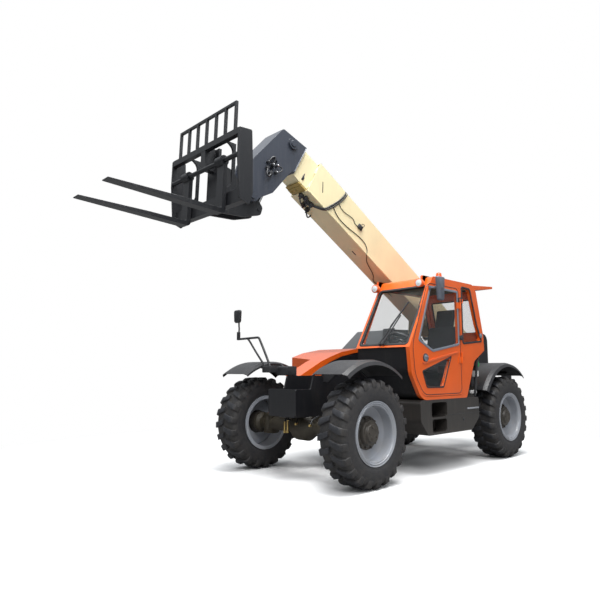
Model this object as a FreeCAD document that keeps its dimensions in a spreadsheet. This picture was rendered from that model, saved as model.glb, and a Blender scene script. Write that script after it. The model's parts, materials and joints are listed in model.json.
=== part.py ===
import FreeCAD, Part
import math
import os

import Sketcher
from FreeCAD import Placement, Rotation, Vector

# A rough-terrain telescopic handler: a four-wheel-steer chassis with a cab on its left, an engine
# bay on its right and a two-section boom between them that carries a pair of pallet forks.
# +X points forward, +Y to the machine's left, +Z up, and z = 0 is the ground under the tyres.
# Lengths are millimetres and angles are degrees.

doc = FreeCAD.newDocument("telehandler")

SIZES = {
    # running gear
    "front_axle_x": 800, "wheelbase": 3490, "track": 2014,
    "tyre_radius": 650, "tyre_width": 410, "lug_depth": 44, "lug_count": 15,
    "rim_radius": 345, "rim_wall": 12, "rim_flange": 38, "rim_flange_thick": 14, "disc_thick": 20,
    "hub_radius": 150, "hub_cap_radius": 112, "hub_cap_depth": 110,
    "spindle_radius": 60, "kingpin_offset": 247, "kingpin_radius": 30, "knuckle_radius": 72,
    "knuckle_height": 210, "yoke_plate": 34, "axle_tube_radius": 92, "differential_radius": 185,
    "running_clearance": 0.3,
    # chassis
    "frame_half_width": 265, "frame_plate": 25, "nose_x": 1235, "nose_top": 1150, "nose_bottom": 800,
    "arch_top": 1320, "deck_top": 1010, "frame_bottom": 450, "tower_top": 2090, "rear_overhang": 1165,
    "cross_plate": 30, "tow_pin_radius": 25, "counterweight_width": 1560, "counterweight_length": 300,
    "counterweight_bottom": 640, "counterweight_top": 1240,
    # boom
    "boom_pivot_back": 655, "boom_pivot_z": 1800, "boom_angle": 29.7,
    "boom_half_width": 170, "boom_over": 210, "boom_under": 328, "boom_wall": 12,
    "boom_front": 4727, "boom_tail": 330, "boom_pin_radius": 60,
    "inner_half_width": 130, "inner_gap": 25, "inner_rear": 900, "inner_front": 5043, "inner_wall": 10,
    "wear_pad_length": 160,
    "head_half_width": 178, "head_plate": 26, "head_flange": 30,
    "tilt_base_u": 5269, "tilt_base_w": 34, "tilt_base_radius": 45,
    "head_pin_u": 5427, "head_pin_w": -1081, "head_pin_radius": 35,
    # fork carriage, about the head pin
    "carriage_tilt": 2, "carriage_half_width": 711, "carriage_plate": 20, "carriage_back": 470,
    "carriage_front": 636, "carriage_bottom": -322, "carriage_top": 512, "backrest_top": 875,
    "backrest_half_width": 600, "tilt_eye_x": -171, "tilt_eye_z": -109, "coupler_half_width": 110,
    "coupler_plate": 32,
    "fork_face_x": 620, "fork_spacing": 726, "fork_width": 125, "fork_thick": 55, "fork_drop": 99,
    "fork_length": 1324,
    "fork_shaft_radius": 28, "fork_shaft_z": 205, "fork_shaft_x": 610, "fork_eye_radius": 60,
    # cylinders
    "lift_base_back": 455, "lift_base_z": 950, "lift_lug_u": 1350, "lift_lug_w": -490, "lift_y": -66,
    "lift_barrel_radius": 75, "lift_rod_radius": 38, "lift_barrel_length": 1120, "lift_eye_radius": 55,
    "lift_rod_start": 590,
    "comp_base_back": 510, "comp_base_z": 950, "comp_lug_u": 1200, "comp_lug_w": -500, "comp_y": 95,
    "comp_barrel_radius": 45, "comp_rod_radius": 22, "comp_barrel_length": 1020, "comp_eye_radius": 42,
    "comp_rod_start": 510,
    "tilt_barrel_radius": 60, "tilt_rod_radius": 32, "tilt_barrel_length": 800, "tilt_eye_radius": 52,
    "tilt_rod_start": 400, "side_clearance": 5,
    "cylinder_pin_radius": 28,
    # cab
    "cab_left": 1180, "cab_right": 275, "cab_wall": 55, "cab_floor": 1000, "cab_waist": 1700,
    "cab_top": 2710, "cab_front_x": 65, "cab_rear_x": -1945, "pillar_x": -1245, "glass_thick": 8,
    "windscreen_top": 2560, "rear_window_low": 1980, "rear_window_top": 2500,
    "door_gap": 6, "hinge_radius": 14, "hinge_y": 1195,
    "hinge_height": 90,
    # bodywork
    "sill_bottom": 530, "fender_radius": 905, "fender_centre_z": 616, "fender_width": 590,
    "fender_outer": 1215,
    "fender_sheet": 8, "hood_hinge_x": -1165, "hood_hinge_z": 1750, "hood_bottom": 1314, "hood_outer": 1150,
    "hood_step": 595, "hood_wall": 25,
    "hood_knuckle_radius": 11, "hood_pin_radius": 5,
}

sheet = doc.addObject("Spreadsheet::Sheet", "Sizes")
for row, (alias, number) in enumerate(SIZES.items(), start=1):
    sheet.set(f"A{row}", alias)
    sheet.set(f"B{row}", str(number))
    sheet.setAlias(f"B{row}", alias)
doc.recompute()


class Size:
    """A length or angle: its number, and the sheet formula that gives it."""

    def __init__(self, number, formula):
        self.number = number
        self.formula = formula

    def __add__(self, other):
        return combine(self, "+", other)

    def __radd__(self, other):
        return combine(other, "+", self)

    def __sub__(self, other):
        return combine(self, "-", other)

    def __rsub__(self, other):
        return combine(other, "-", self)

    def __mul__(self, other):
        return combine(self, "*", other)

    def __rmul__(self, other):
        return combine(other, "*", self)

    def __truediv__(self, other):
        return combine(self, "/", other)

    def __neg__(self):
        return Size(-self.number, f"(-{self.formula})")


def as_size(quantity):
    """The quantity as a Size, also when it is a plain number."""
    if isinstance(quantity, Size):
        return quantity
    return Size(float(quantity), f"({quantity})" if quantity < 0 else str(quantity))


def combine(left, sign, right):
    """Two sizes joined by + - * or /, in number and in formula."""
    left, right = as_size(left), as_size(right)
    number = {
        "+": lambda: left.number + right.number,
        "-": lambda: left.number - right.number,
        "*": lambda: left.number * right.number,
        "/": lambda: left.number / right.number,
    }[sign]()
    return Size(number, f"({left.formula} {sign} {right.formula})")


def cosine(angle):
    return Size(math.cos(math.radians(angle.number)), f"cos({angle.formula})")


def sine(angle):
    return Size(math.sin(math.radians(angle.number)), f"sin({angle.formula})")


def root(square):
    return Size(math.sqrt(square.number), f"sqrt({square.formula})")


def direction(rise, run):
    """The angle of a line that rises and runs so far."""
    number = math.degrees(math.atan2(rise.number, run.number))
    return Size(number, f"atan2({rise.formula}; {run.formula})")


class Sizes:
    """The driving sizes by name: S.wheelbase is the sheet's wheelbase."""

    def __getattr__(self, alias):
        return Size(float(sheet.get(alias)), f"Sizes.{alias}")


S = Sizes()
S.rear_axle_x = S.front_axle_x - S.wheelbase
S.rear_x = S.rear_axle_x - S.rear_overhang
S.boom_pivot_x = S.rear_axle_x - S.boom_pivot_back
S.lift_base_x = S.rear_axle_x - S.lift_base_back
S.comp_base_x = S.rear_axle_x - S.comp_base_back


def on_boom(along, above):
    """The machine's x and z of a point given along the boom's centre line and above it."""
    x = S.boom_pivot_x + along * cosine(S.boom_angle) - above * sine(S.boom_angle)
    z = S.boom_pivot_z + along * sine(S.boom_angle) + above * cosine(S.boom_angle)
    return x, z


PLANES = {"side": "XZ_Plane", "top": "XY_Plane", "front": "YZ_Plane"}


def drive(thing, path, quantity):
    """Set a property or constraint from a size, and bind it when the size comes from the sheet."""
    quantity = as_size(quantity)
    if "Sizes." in quantity.formula:
        thing.setExpression(path, quantity.formula)
    return quantity.number


class Piece:
    """One sub-part: a body of features, drawn in its own frame and then placed on the machine."""

    def __init__(self, name, at=(0, 0, 0), tilt=0):
        self.body = doc.addObject("PartDesign::Body", name)
        self.body.Label = name
        self.body.AllowCompound = True
        self.place(at, tilt)

    def place(self, at, tilt):
        at = [as_size(value) for value in at]
        tilt = as_size(tilt)
        turned = tilt if tilt.number >= 0 else -tilt
        axis = Vector(0, -1 if tilt.number >= 0 else 1, 0)
        self.body.Placement = Placement(Vector(*[value.number for value in at]), Rotation(axis, turned.number))
        for letter, value in zip("xyz", at):
            drive(self.body, f"Placement.Base.{letter}", value)
        if turned.number:
            drive(self.body, "Placement.Rotation.Angle", turned)

    def feature(self, kind, sketch, **settings):
        made = self.body.newObject(f"PartDesign::{kind}", f"{self.body.Name}_{kind.lower()}")
        made.Profile = sketch
        for key, value in settings.items():
            if isinstance(value, Size):
                setattr(made, key, value.number)
                drive(made, key, value)
            else:
                setattr(made, key, value)
        doc.recompute()
        return made

    def sketch(self, plane, level=0, lean=0):
        """An empty sketch on one of the body's own planes, shifted along its normal or leant back."""
        drawing = self.body.newObject("Sketcher::SketchObject", f"{self.body.Name}_sketch")
        base = next(item for item in self.body.Origin.OriginFeatures if item.Role == PLANES[plane])
        drawing.AttachmentSupport = [(base, "")]
        drawing.MapMode = "FlatFace"
        level = as_size(level)
        drawing.AttachmentOffset = Placement(Vector(0, 0, level.number), Rotation(Vector(1, 0, 0), lean))
        drive(drawing, "AttachmentOffset.Base.z", level)
        return drawing

    def outline(self, plane, points, level=0, lean=0):
        """A closed outline of straight sides; a point's third number rounds its corner."""
        drawing = self.sketch(plane, level, lean)
        corners = [Vector(as_size(p[0]).number, as_size(p[1]).number, 0) for p in points]
        count = len(points)
        trims = []
        for index, point in enumerate(points):
            if len(point) < 3:
                trims.append((corners[index], corners[index], None))
                continue
            back = (corners[index - 1] - corners[index]).normalize()
            ahead = (corners[(index + 1) % count] - corners[index]).normalize()
            half = back.getAngle(ahead) / 2
            radius = as_size(point[2]).number
            reach = radius / math.tan(half)
            middle = (back + ahead).normalize() * (radius / math.sin(half)) + corners[index]
            trims.append((corners[index] + back * reach, corners[index] + ahead * reach, middle))
        for index in range(count):
            start, end = trims[index][1], trims[(index + 1) % count][0]
            drawing.addGeometry(Part.LineSegment(start, end), False)
        for index, (start, end, middle) in enumerate(trims):
            line_in, line_out = (index - 1) % count, index
            if middle is None:
                drawing.addConstraint(Sketcher.Constraint("Coincident", line_in, 2, line_out, 1))
                target, spot = line_out, 1
            else:
                radius = (start - middle).Length
                first = math.atan2(start.y - middle.y, start.x - middle.x)
                last = math.atan2(end.y - middle.y, end.x - middle.x)
                left_turn = (start - middle).cross(end - middle).z > 0
                low, high = (first, last) if left_turn else (last, first)
                circle = Part.Circle(middle, Vector(0, 0, 1), radius)
                arc = drawing.addGeometry(Part.ArcOfCircle(circle, low, high), False)
                head, tail = (1, 2) if left_turn else (2, 1)
                target, spot = drawing.addGeometry(Part.Point(corners[index]), True), 1
                drawing.addConstraint([
                    Sketcher.Constraint("Tangent", line_in, 2, arc, head),
                    Sketcher.Constraint("Tangent", arc, tail, line_out, 1),
                    Sketcher.Constraint("PointOnObject", target, 1, line_in),
                    Sketcher.Constraint("PointOnObject", target, 1, line_out),
                ])
                mark = drawing.addConstraint(Sketcher.Constraint("Radius", arc, radius))
                drive(drawing, f"Constraints[{mark}]", points[index][2])
            for way, value in (("DistanceX", points[index][0]), ("DistanceY", points[index][1])):
                number = as_size(value).number
                mark = drawing.addConstraint(Sketcher.Constraint(way, -1, 1, target, spot, number))
                drive(drawing, f"Constraints[{mark}]", value)
        return drawing

    def circle(self, plane, centre, radius, level=0):
        drawing = self.sketch(plane, level)
        across, up, radius = as_size(centre[0]), as_size(centre[1]), as_size(radius)
        drawing.addGeometry(Part.Circle(Vector(across.number, up.number, 0), Vector(0, 0, 1), radius.number), False)
        marks = [
            (Sketcher.Constraint("Radius", 0, radius.number), radius),
            (Sketcher.Constraint("DistanceX", -1, 1, 0, 3, across.number), across),
            (Sketcher.Constraint("DistanceY", -1, 1, 0, 3, up.number), up),
        ]
        for constraint, value in marks:
            mark = drawing.addConstraint(constraint)
            drive(drawing, f"Constraints[{mark}]", value)
        return drawing

    def span(self, plane, low, high):
        """Where a sketch lies and how far it reaches, to fill from low to high across its plane."""
        return (-high if plane == "side" else low), as_size(high - low)

    def pad(self, plane, points, low, high):
        """Fill an outline from low to high across its plane."""
        low, high = as_size(low), as_size(high)
        level, length = self.span(plane, low, high)
        return self.feature("Pad", self.outline(plane, points, level), Length=length)

    def pocket(self, plane, points, low, high):
        """Cut an outline from low to high across its plane."""
        low, high = as_size(low), as_size(high)
        level, length = self.span(plane, low, high)
        return self.cut(self.outline(plane, points, level), length)

    def disc(self, plane, centre, radius, low, high):
        low, high = as_size(low), as_size(high)
        level, length = self.span(plane, low, high)
        return self.feature("Pad", self.circle(plane, centre, radius, level), Length=length)

    def bore(self, plane, centre, radius, low, high):
        low, high = as_size(low), as_size(high)
        level, length = self.span(plane, low, high)
        return self.cut(self.circle(plane, centre, radius, level), length)

    def cut(self, drawing, length):
        before = self.body.Shape.Volume
        made = self.feature("Pocket", drawing, Length=length, Reversed=True)
        if self.body.Shape.Volume >= before:
            raise ValueError(f"{made.Name} cuts nothing")
        return made

    def turn(self, plane, points, angle=360, lean=0):
        """Turn an outline about the plane's own level axis."""
        drawing = self.outline(plane, points, 0, lean)
        return self.feature("Revolution", drawing, ReferenceAxis=(drawing, ["H_Axis"]), Angle=angle, Midplane=True)

    def ring(self, features, count, role):
        """Repeat features evenly about one of the body's own axes."""
        pattern = self.body.newObject("PartDesign::PolarPattern", f"{self.body.Name}_ring")
        pattern.Originals = features
        axis = next(item for item in self.body.Origin.OriginFeatures if item.Role == role)
        pattern.Axis = (axis, [""])
        pattern.Angle = 360
        pattern.Occurrences = int(count.number)
        drive(pattern, "Occurrences", count)
        self.body.Tip = pattern
        doc.recompute()
        return pattern


def rectangle(low_x, low_y, high_x, high_y, *corner):
    """The four corners of a rectangle, rounded when a radius is given."""
    return [(low_x, low_y, *corner), (high_x, low_y, *corner), (high_x, high_y, *corner), (low_x, high_y, *corner)]


WHEELS = {
    "front_left": (S.front_axle_x, 1), "front_right": (S.front_axle_x, -1),
    "rear_left": (S.rear_axle_x, 1), "rear_right": (S.rear_axle_x, -1),
}


def tyre(name, axle_x, side):
    """A traction tyre: a carcass turned about the axle, with two staggered rows of swept lugs."""
    piece = Piece(name, (axle_x, side * S.track / 2, S.tyre_radius))
    half, flange = S.tyre_width / 2, S.rim_radius + S.rim_flange
    crown = S.tyre_radius - S.lug_depth
    seat = flange + S.running_clearance
    piece.turn("front", rectangle(-half, seat, half, crown))
    for row in (1, -1):
        lug_outline = [(-69, 8), (11, 8), (75, half), (-25, half)]
        drawing = piece.outline("top", [(x, row * y) for x, y in lug_outline][::row])
        tilt = Rotation(Vector(0, 1, 0), 0 if row > 0 else 180 / S.lug_count.number)
        floor = crown - 40
        drawing.AttachmentOffset = Placement(tilt.multVec(Vector(0, 0, floor.number)), tilt)
        height = root(S.tyre_radius * S.tyre_radius - 75 * 75) - floor
        lug = piece.feature("Pad", drawing, Length=height)
        piece.ring([lug], S.lug_count, "Y_Axis")


def wheel(name, axle_x, side):
    """A dished rim with its planetary hub, turned about the axle and bored for the spindle."""
    piece = Piece(name, (axle_x, side * S.track / 2, S.tyre_radius))
    seat, inside = S.rim_radius, S.rim_radius - S.rim_wall
    flange, thick = S.rim_radius + S.rim_flange, S.rim_flange_thick
    bead = S.tyre_width / 2 - thick - 8
    bore = S.spindle_radius + S.running_clearance
    back, front = 12, 12 + S.disc_thick
    profile = [
        (-90, bore), (-90, S.hub_radius), (back, S.hub_radius), (back, inside), (-bead - thick, inside),
        (-bead - thick, flange), (-bead, flange), (-bead, seat), (bead, seat), (bead, flange), (bead + thick, flange),
        (bead + thick, seat - 4), (bead - 14, inside), (front, inside), (front, S.hub_radius + 45),
        (front + 20, S.hub_radius + 45), (front + 20, S.hub_radius), (S.hub_cap_depth, S.hub_radius),
        (S.hub_cap_depth, S.hub_cap_radius), (S.hub_cap_depth + 34, S.hub_cap_radius), (S.hub_cap_depth + 34, 0),
        (72, 0), (72, bore),
    ]
    piece.turn("front", [(side * y, r) for y, r in profile])


def knuckle(name, axle_x, side):
    """A steering knuckle: the kingpin barrel, the steering arm and the wheel's spindle."""
    piece = Piece(name, (axle_x, side * S.track / 2, S.tyre_radius))
    pin_y = -side * S.kingpin_offset
    half = S.knuckle_height / 2
    piece.turn("front", [
        (pin_y, 0), (pin_y, half - 8), (-side * 150, half - 8), (-side * 110, S.hub_radius - 12),
        (-side * 92, S.hub_radius - 12), (-side * 92, S.spindle_radius), (side * 68, S.spindle_radius), (side * 68, 0),
    ][::side])
    piece.disc("top", (0, pin_y), S.knuckle_radius, -half, half)
    piece.bore("top", (0, pin_y), S.kingpin_radius + S.running_clearance, -half, half)


def axle(name, axle_x):
    """A steering axle: differential housing, tapered tubes and a yoke with its kingpin at each end."""
    piece = Piece(name, (axle_x, 0, S.tyre_radius))
    pin_y = S.track / 2 - S.kingpin_offset
    yoke_y = pin_y - S.knuckle_radius - 30
    tube, middle = S.axle_tube_radius, S.differential_radius
    piece.turn("front", [
        (-yoke_y, 0), (-yoke_y, tube), (-260, tube), (-110, middle), (70, middle), (220, tube), (yoke_y, tube),
        (yoke_y, 0),
    ])
    half = S.knuckle_height / 2 + S.running_clearance
    outer = half + S.yoke_plate
    for side in (1, -1):
        piece.pad("side", rectangle(-75, -outer, 75, outer, 30), *sorted_span(side, yoke_y - 40, yoke_y))
        for level in (half, -outer):
            piece.pad("top", rectangle(-75, side * (yoke_y - 1), 75, side * pin_y)[::side], level, level + S.yoke_plate)
            piece.disc("top", (0, side * pin_y), 75, level, level + S.yoke_plate)
        piece.disc("top", (0, side * pin_y), S.kingpin_radius, -outer, outer)
    piece.pad("side", rectangle(-70, tube - 30, 70, S.nose_bottom - S.tyre_radius), S.frame_half_width - 85,
              S.frame_half_width)
    piece.pad("side", rectangle(-70, tube - 30, 70, S.nose_bottom - S.tyre_radius), -S.frame_half_width,
              85 - S.frame_half_width)


def sorted_span(side, inner, outer):
    """The low and high of a span that lies on the given side of the middle plane."""
    return (inner, outer) if side > 0 else (-outer, -inner)


def chassis():
    """Two long plates with a boom tower at the rear, a nose at the front and plates across."""
    piece = Piece("chassis_frame")
    rear_axle_x = S.rear_axle_x
    side_view = [
        (S.nose_x, S.nose_bottom, 40), (S.nose_x, S.nose_top, 20), (S.nose_x - 270, S.nose_top, 20),
        (S.nose_x - 320, S.arch_top, 20), (S.front_axle_x - 620, S.arch_top, 80),
        (S.front_axle_x - 900, S.deck_top, 80), (rear_axle_x - 60, S.deck_top, 160),
        (S.boom_pivot_x + 270, S.tower_top, 110), (S.rear_x, S.tower_top, 150), (S.rear_x, S.nose_bottom - 100, 60),
        (rear_axle_x - 520, S.nose_bottom - 100, 60), (rear_axle_x - 400, S.nose_bottom, 40),
        (rear_axle_x + 260, S.nose_bottom, 60), (rear_axle_x + 420, S.frame_bottom, 80),
        (S.front_axle_x - 640, S.frame_bottom, 80), (S.front_axle_x - 460, S.nose_bottom, 60),
    ]
    inner = S.frame_half_width - S.frame_plate
    piece.pad("side", side_view, inner, S.frame_half_width)
    piece.pad("side", side_view, -S.frame_half_width, -inner)
    across = (-inner, inner)
    piece.pad("side", rectangle(S.nose_x - S.cross_plate, S.nose_bottom, S.nose_x, S.nose_top), *across)
    piece.pad("side", rectangle(S.nose_x - 330, S.nose_bottom + 60, S.nose_x - S.cross_plate, S.nose_bottom + 90), *across)
    piece.pad("side", rectangle(S.front_axle_x - 520, 850, S.front_axle_x - 490, 1080), *across)
    piece.pad("side", rectangle(rear_axle_x + 330, S.frame_bottom, S.front_axle_x - 560, S.frame_bottom + 20), *across)
    piece.pad("side", rectangle(S.rear_x, S.nose_bottom - 100, S.rear_x + S.cross_plate, 1330), *across)
    piece.pad("side", rectangle(S.rear_x + S.cross_plate, 720, S.lift_base_x + 110, 750), *across)
    pin = (S.boom_pivot_x, S.boom_pivot_z)
    piece.disc("side", pin, 130, S.frame_half_width, S.frame_half_width + 22)
    piece.disc("side", pin, 130, -S.frame_half_width - 22, -S.frame_half_width)
    piece.disc("side", pin, S.boom_pin_radius, -S.frame_half_width - 30, S.frame_half_width + 30)
    for base_x, base_z, y, radius in (
        (S.lift_base_x, S.lift_base_z, S.lift_y, S.lift_barrel_radius),
        (S.comp_base_x, S.comp_base_z, S.comp_y, S.comp_barrel_radius),
    ):
        width = radius * EYE_WIDTH + S.side_clearance
        piece.disc("side", (base_x, base_z), S.cylinder_pin_radius, y - width - 20, y + width + 20)
        for edge in (-width - 16, width):
            piece.pad("side", [
                (base_x - 60, 745), (base_x + 60, 745), (base_x + 50, base_z, 30), (base_x + 30, base_z + 50, 30),
                (base_x - 30, base_z + 50, 30), (base_x - 50, base_z, 30),
            ], y + edge, y + edge + 16)
    piece.bore("top", (S.nose_x - 130, 0), S.tow_pin_radius, S.nose_bottom + 50, S.nose_bottom + 100)
    piece.bore("top", (S.rear_x + 130, 0), S.tow_pin_radius, 710, 760)


def counterweight():
    """The cast block across the rear of the chassis, with a tow pin bore in its jaw."""
    piece = Piece("counterweight")
    half = S.counterweight_width / 2
    front = S.rear_x + S.counterweight_length
    for side in (1, -1):
        low, high = sorted_span(side, S.frame_half_width, half)
        piece.pad("side", [
            (S.rear_x, S.counterweight_bottom + 120, 50), (S.rear_x, S.counterweight_top, 60),
            (front, S.counterweight_top, 40), (front, S.counterweight_bottom, 30), (S.rear_x + 140, S.counterweight_bottom, 40),
        ], low, high)


def fenders(name, axle_x, front_reach, rear_reach):
    """A pair of mudguards: crowned sheets turned about a line below the arch, each on a bracket."""
    piece = Piece(name, (axle_x, 0, S.fender_centre_z))
    outer, inner = S.fender_outer, S.fender_outer - S.fender_width
    crown, sheet = S.fender_radius, S.fender_sheet
    sheet_view = [
        (inner, crown - 50), (inner, crown - 24), (inner + 70, crown), (outer - 80, crown), (outer - 18, crown - 22),
        (outer, crown - 66), (outer - sheet, crown - 66), (outer - 24, crown - 28), (outer - 82, crown - sheet),
        (inner + 71, crown - sheet), (inner + sheet, crown - 30), (inner + sheet, crown - 50),
    ]
    wall = S.frame_half_width
    if name.startswith("front"):
        low, top, where = S.arch_top - 80 - S.fender_centre_z, crown - 40, (-100, -70)
        bracket = [(wall, low), (wall, low + 80), (wall + 330, top), (inner + 315, top), (inner + 315, top - 30),
                   (wall + 370, top - 40), (wall + 80, low)]
    else:
        low, top, where = 582, 746, (-510, -480)
        bracket = [(wall, low), (wall, top), (inner + 315, top), (inner + 315, top - 22), (wall + 170, top - 24),
                   (wall + 90, low)]
    for side in (1, -1):
        piece.turn("front", [(side * y, r) for y, r in sheet_view], front_reach + rear_reach, (front_reach - rear_reach) / 2)
        piece.pad("front", [(side * y, z) for y, z in bracket], *where)


def boom_outer():
    """The outer boom: a welded box with the pivot boss at its tail and cylinder lugs beneath."""
    piece = Piece("boom_outer", (S.boom_pivot_x, 0, S.boom_pivot_z), S.boom_angle)
    half, wall = S.boom_half_width, S.boom_wall
    piece.pad("side", [
        (-S.boom_tail, -S.boom_under + 120, 90), (-S.boom_tail, S.boom_over, 60), (S.boom_front, S.boom_over),
        (S.boom_front, -S.boom_under), (-S.boom_tail + 180, -S.boom_under, 60),
    ], -half, half)
    piece.pocket("front", rectangle(-half + wall, -S.boom_under + wall, half - wall, S.boom_over - wall),
                 S.boom_pin_radius + 160, S.boom_front)
    edge = S.frame_half_width - S.frame_plate - 5
    piece.disc("side", (0, 0), S.boom_pin_radius + 50, -edge, edge)
    piece.bore("side", (0, 0), S.boom_pin_radius + S.running_clearance, -edge, edge)
    for u, w, y, radius, eye in (
        (S.lift_lug_u, S.lift_lug_w, S.lift_y, S.lift_barrel_radius, S.lift_eye_radius),
        (S.comp_lug_u, S.comp_lug_w, S.comp_y, S.comp_barrel_radius, S.comp_eye_radius),
    ):
        width = radius * EYE_WIDTH + S.side_clearance
        for low in (-width - 14, width):
            piece.pad("side", [
                (u - 150, -S.boom_under + 2), (u - 30 - eye / 2, w - eye, 40), (u + 30 + eye / 2, w - eye, 40),
                (u + 150, -S.boom_under + 2),
            ], y + low, y + low + 14)
            piece.disc("side", (u, w), S.cylinder_pin_radius, y + low - 2, y + low + 16)
    gap = S.inner_gap - S.running_clearance
    inner_top, inner_bottom = S.boom_over - wall - S.inner_gap, -S.boom_under + wall + S.inner_gap
    front = (S.boom_front - S.wear_pad_length, S.boom_front)
    side_gap = half - wall - S.inner_half_width - S.running_clearance
    for side in (1, -1):
        piece.pad("side", rectangle(front[0], inner_bottom + 30, front[1], inner_bottom + 150),
                  *sorted_span(side, half - wall - side_gap, half - wall))
        piece.pad("side", rectangle(front[0], inner_top - 150, front[1], inner_top - 30),
                  *sorted_span(side, half - wall - side_gap, half - wall))
    piece.pad("side", rectangle(front[0], S.boom_over - wall - gap, front[1], S.boom_over - wall), -100, 100)
    piece.pad("side", rectangle(front[0], -S.boom_under + wall, front[1], -S.boom_under + wall + gap), -100, 100)


def boom_inner():
    """The inner boom: a box that slides in the outer one on wear pads."""
    piece = Piece("boom_inner", (S.boom_pivot_x, 0, S.boom_pivot_z), S.boom_angle)
    half, wall = S.inner_half_width, S.inner_wall
    top = S.boom_over - S.boom_wall - S.inner_gap
    bottom = -S.boom_under + S.boom_wall + S.inner_gap
    piece.pad("front", rectangle(-half, bottom, half, top), S.inner_rear, S.inner_front)
    piece.pocket("front", rectangle(-half + wall, bottom + wall, half - wall, top - wall), S.inner_rear, S.inner_front)
    rear = (S.inner_rear, S.inner_rear + S.wear_pad_length)
    gap = S.inner_gap - S.running_clearance
    piece.pad("side", rectangle(rear[0], top, rear[1], top + gap), -100, 100)
    piece.pad("side", rectangle(rear[0], bottom - gap, rear[1], bottom), -100, 100)
    side_gap = S.boom_half_width - S.boom_wall - half - S.running_clearance
    for side in (1, -1):
        piece.pad("side", rectangle(rear[0], bottom + 60, rear[1], top - 60), *sorted_span(side, half, half + side_gap))


def boom_head():
    """The boom head: a flange, two side plates that drop to the fork pin, and a sloped front plate."""
    piece = Piece("boom_head", (S.boom_pivot_x, 0, S.boom_pivot_z), S.boom_angle)
    half, plate = S.head_half_width, S.head_plate
    rear = S.inner_front
    top = S.boom_over - S.boom_wall - S.inner_gap
    bottom = -S.boom_under + S.boom_wall + S.inner_gap
    piece.pad("front", rectangle(-half, bottom - 10, half, top + 12), rear, rear + S.head_flange)
    head_top, pin_u, pin_w = top - 75, S.head_pin_u, S.head_pin_w
    side_view = [
        (rear + S.head_flange, top + 8), (rear + 455, head_top, 50), (rear + 620, head_top - 740, 60),
        (pin_u + 118, pin_w - 40, 90), (pin_u - 60, pin_w - 90, 80), (pin_u - 105, pin_w + 70, 60),
        (rear + 150, head_top - 905, 70), (rear + 62, -S.boom_under - 40, 60), (rear + S.head_flange, bottom - 6),
    ]
    for side in (1, -1):
        piece.pad("side", side_view, *sorted_span(side, half - plate, half))
        piece.disc("side", (S.tilt_base_u, S.tilt_base_w), S.tilt_base_radius + 32, *sorted_span(side, half - 2, half + 26))
        piece.disc("side", (pin_u, pin_w), S.head_pin_radius + 32, *sorted_span(side, half - 2, half + 14))
    piece.pocket("side", [
        (rear + 290, head_top - 480, 30), (rear + 400, head_top - 470, 30), (rear + 440, head_top - 640, 30),
        (rear + 300, head_top - 690, 30),
    ], -half, half)
    piece.disc("side", (S.tilt_base_u, S.tilt_base_w), S.tilt_base_radius, -half - 36, half + 36)
    piece.disc("side", (pin_u, pin_w), S.head_pin_radius, -half - 30, half + 30)
    inner = half - plate
    piece.pad("side", [
        (rear + 440, head_top - 16), (rear + 458, head_top - 16), (rear + 615, head_top - 730), (rear + 597, head_top - 730),
    ], -inner, inner)
    piece.pad("side", [
        (rear + 20, bottom + 6), (rear + 64, -S.boom_under - 52), (rear + 82, -S.boom_under - 52), (rear + 38, bottom + 6),
    ], -inner, inner)


def at_head_pin():
    x, z = on_boom(S.head_pin_u, S.head_pin_w)
    return x, 0, z


def carriage():
    """The fork carriage: coupler lugs on the head pin, side plates, beams, fork shaft and load guard."""
    piece = Piece("carriage", at_head_pin(), S.carriage_tilt)
    half, plate = S.carriage_half_width, S.carriage_plate
    back, front = S.carriage_back, S.carriage_front
    low, high = S.carriage_bottom, S.carriage_top
    side_view = [
        (back - 24, low - 30, 20), (back - 62, low + 116, 20), (back - 42, 220), (back - 20, high + 22, 20),
        (front, high, 20), (front, 164, 20), (front - 50, low + 17, 20),
    ]
    for side in (1, -1):
        piece.pad("side", side_view, *sorted_span(side, half - plate, half))
    beam = (-half + plate, half - plate)
    piece.pad("side", rectangle(front - 65, high - 76, front - 2, high - 2), *beam)
    piece.pad("side", rectangle(back - 10, low, front - 84, low + 155), *beam)
    piece.disc("side", (S.fork_shaft_x, S.fork_shaft_z), S.fork_shaft_radius, *beam)
    web_view = [
        (back - 40, low + 20), (back - 40, high - 40), (front - 30, high - 40), (front - 30, 456), (front - 100, 450, 40),
        (back, 400, 90), (back, -20, 60), (front - 90, -105), (front - 90, low + 20),
    ]
    for side in (1, -1):
        piece.pad("side", web_view, *sorted_span(side, 364, 388))
    lug = S.coupler_half_width
    piece.pad("side", rectangle(back - 30, low + 10, back + 10, high - 20), -lug, lug)
    piece.pad("side", rectangle(back, S.fork_shaft_z, front - 4, high - 20), -44, 44)
    eye_x, eye_z = S.tilt_eye_x, S.tilt_eye_z
    coupler_view = [
        (eye_x - 62, eye_z + 30, 50), (eye_x - 30, eye_z - 75, 50), (60, low + 55, 120), (back - 10, low + 20),
        (back - 10, 320), (back - 180, 280, 60), (60, 95, 60), (-70, 95, 60),
    ]
    for side in (1, -1):
        piece.pad("side", coupler_view, *sorted_span(side, lug - S.coupler_plate, lug))
    piece.bore("side", (0, 0), S.head_pin_radius + S.running_clearance, -lug, lug)
    stub = S.tilt_barrel_radius * EYE_WIDTH + S.side_clearance
    for side in (1, -1):
        piece.disc("side", (eye_x, eye_z), S.cylinder_pin_radius, *sorted_span(side, stub, lug + 8))
    guard, bars = S.backrest_half_width, 7
    rear, forward, foot = front - 57, front - 25, high - 10
    piece.pad("front", rectangle(-guard, S.backrest_top - 30, guard, S.backrest_top), rear, forward)
    for index in range(bars):
        edge = -guard + index * (2 * guard - 30) / (bars - 1)
        piece.pad("front", rectangle(edge, foot, edge + 30, S.backrest_top - 28), rear, forward)


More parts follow.
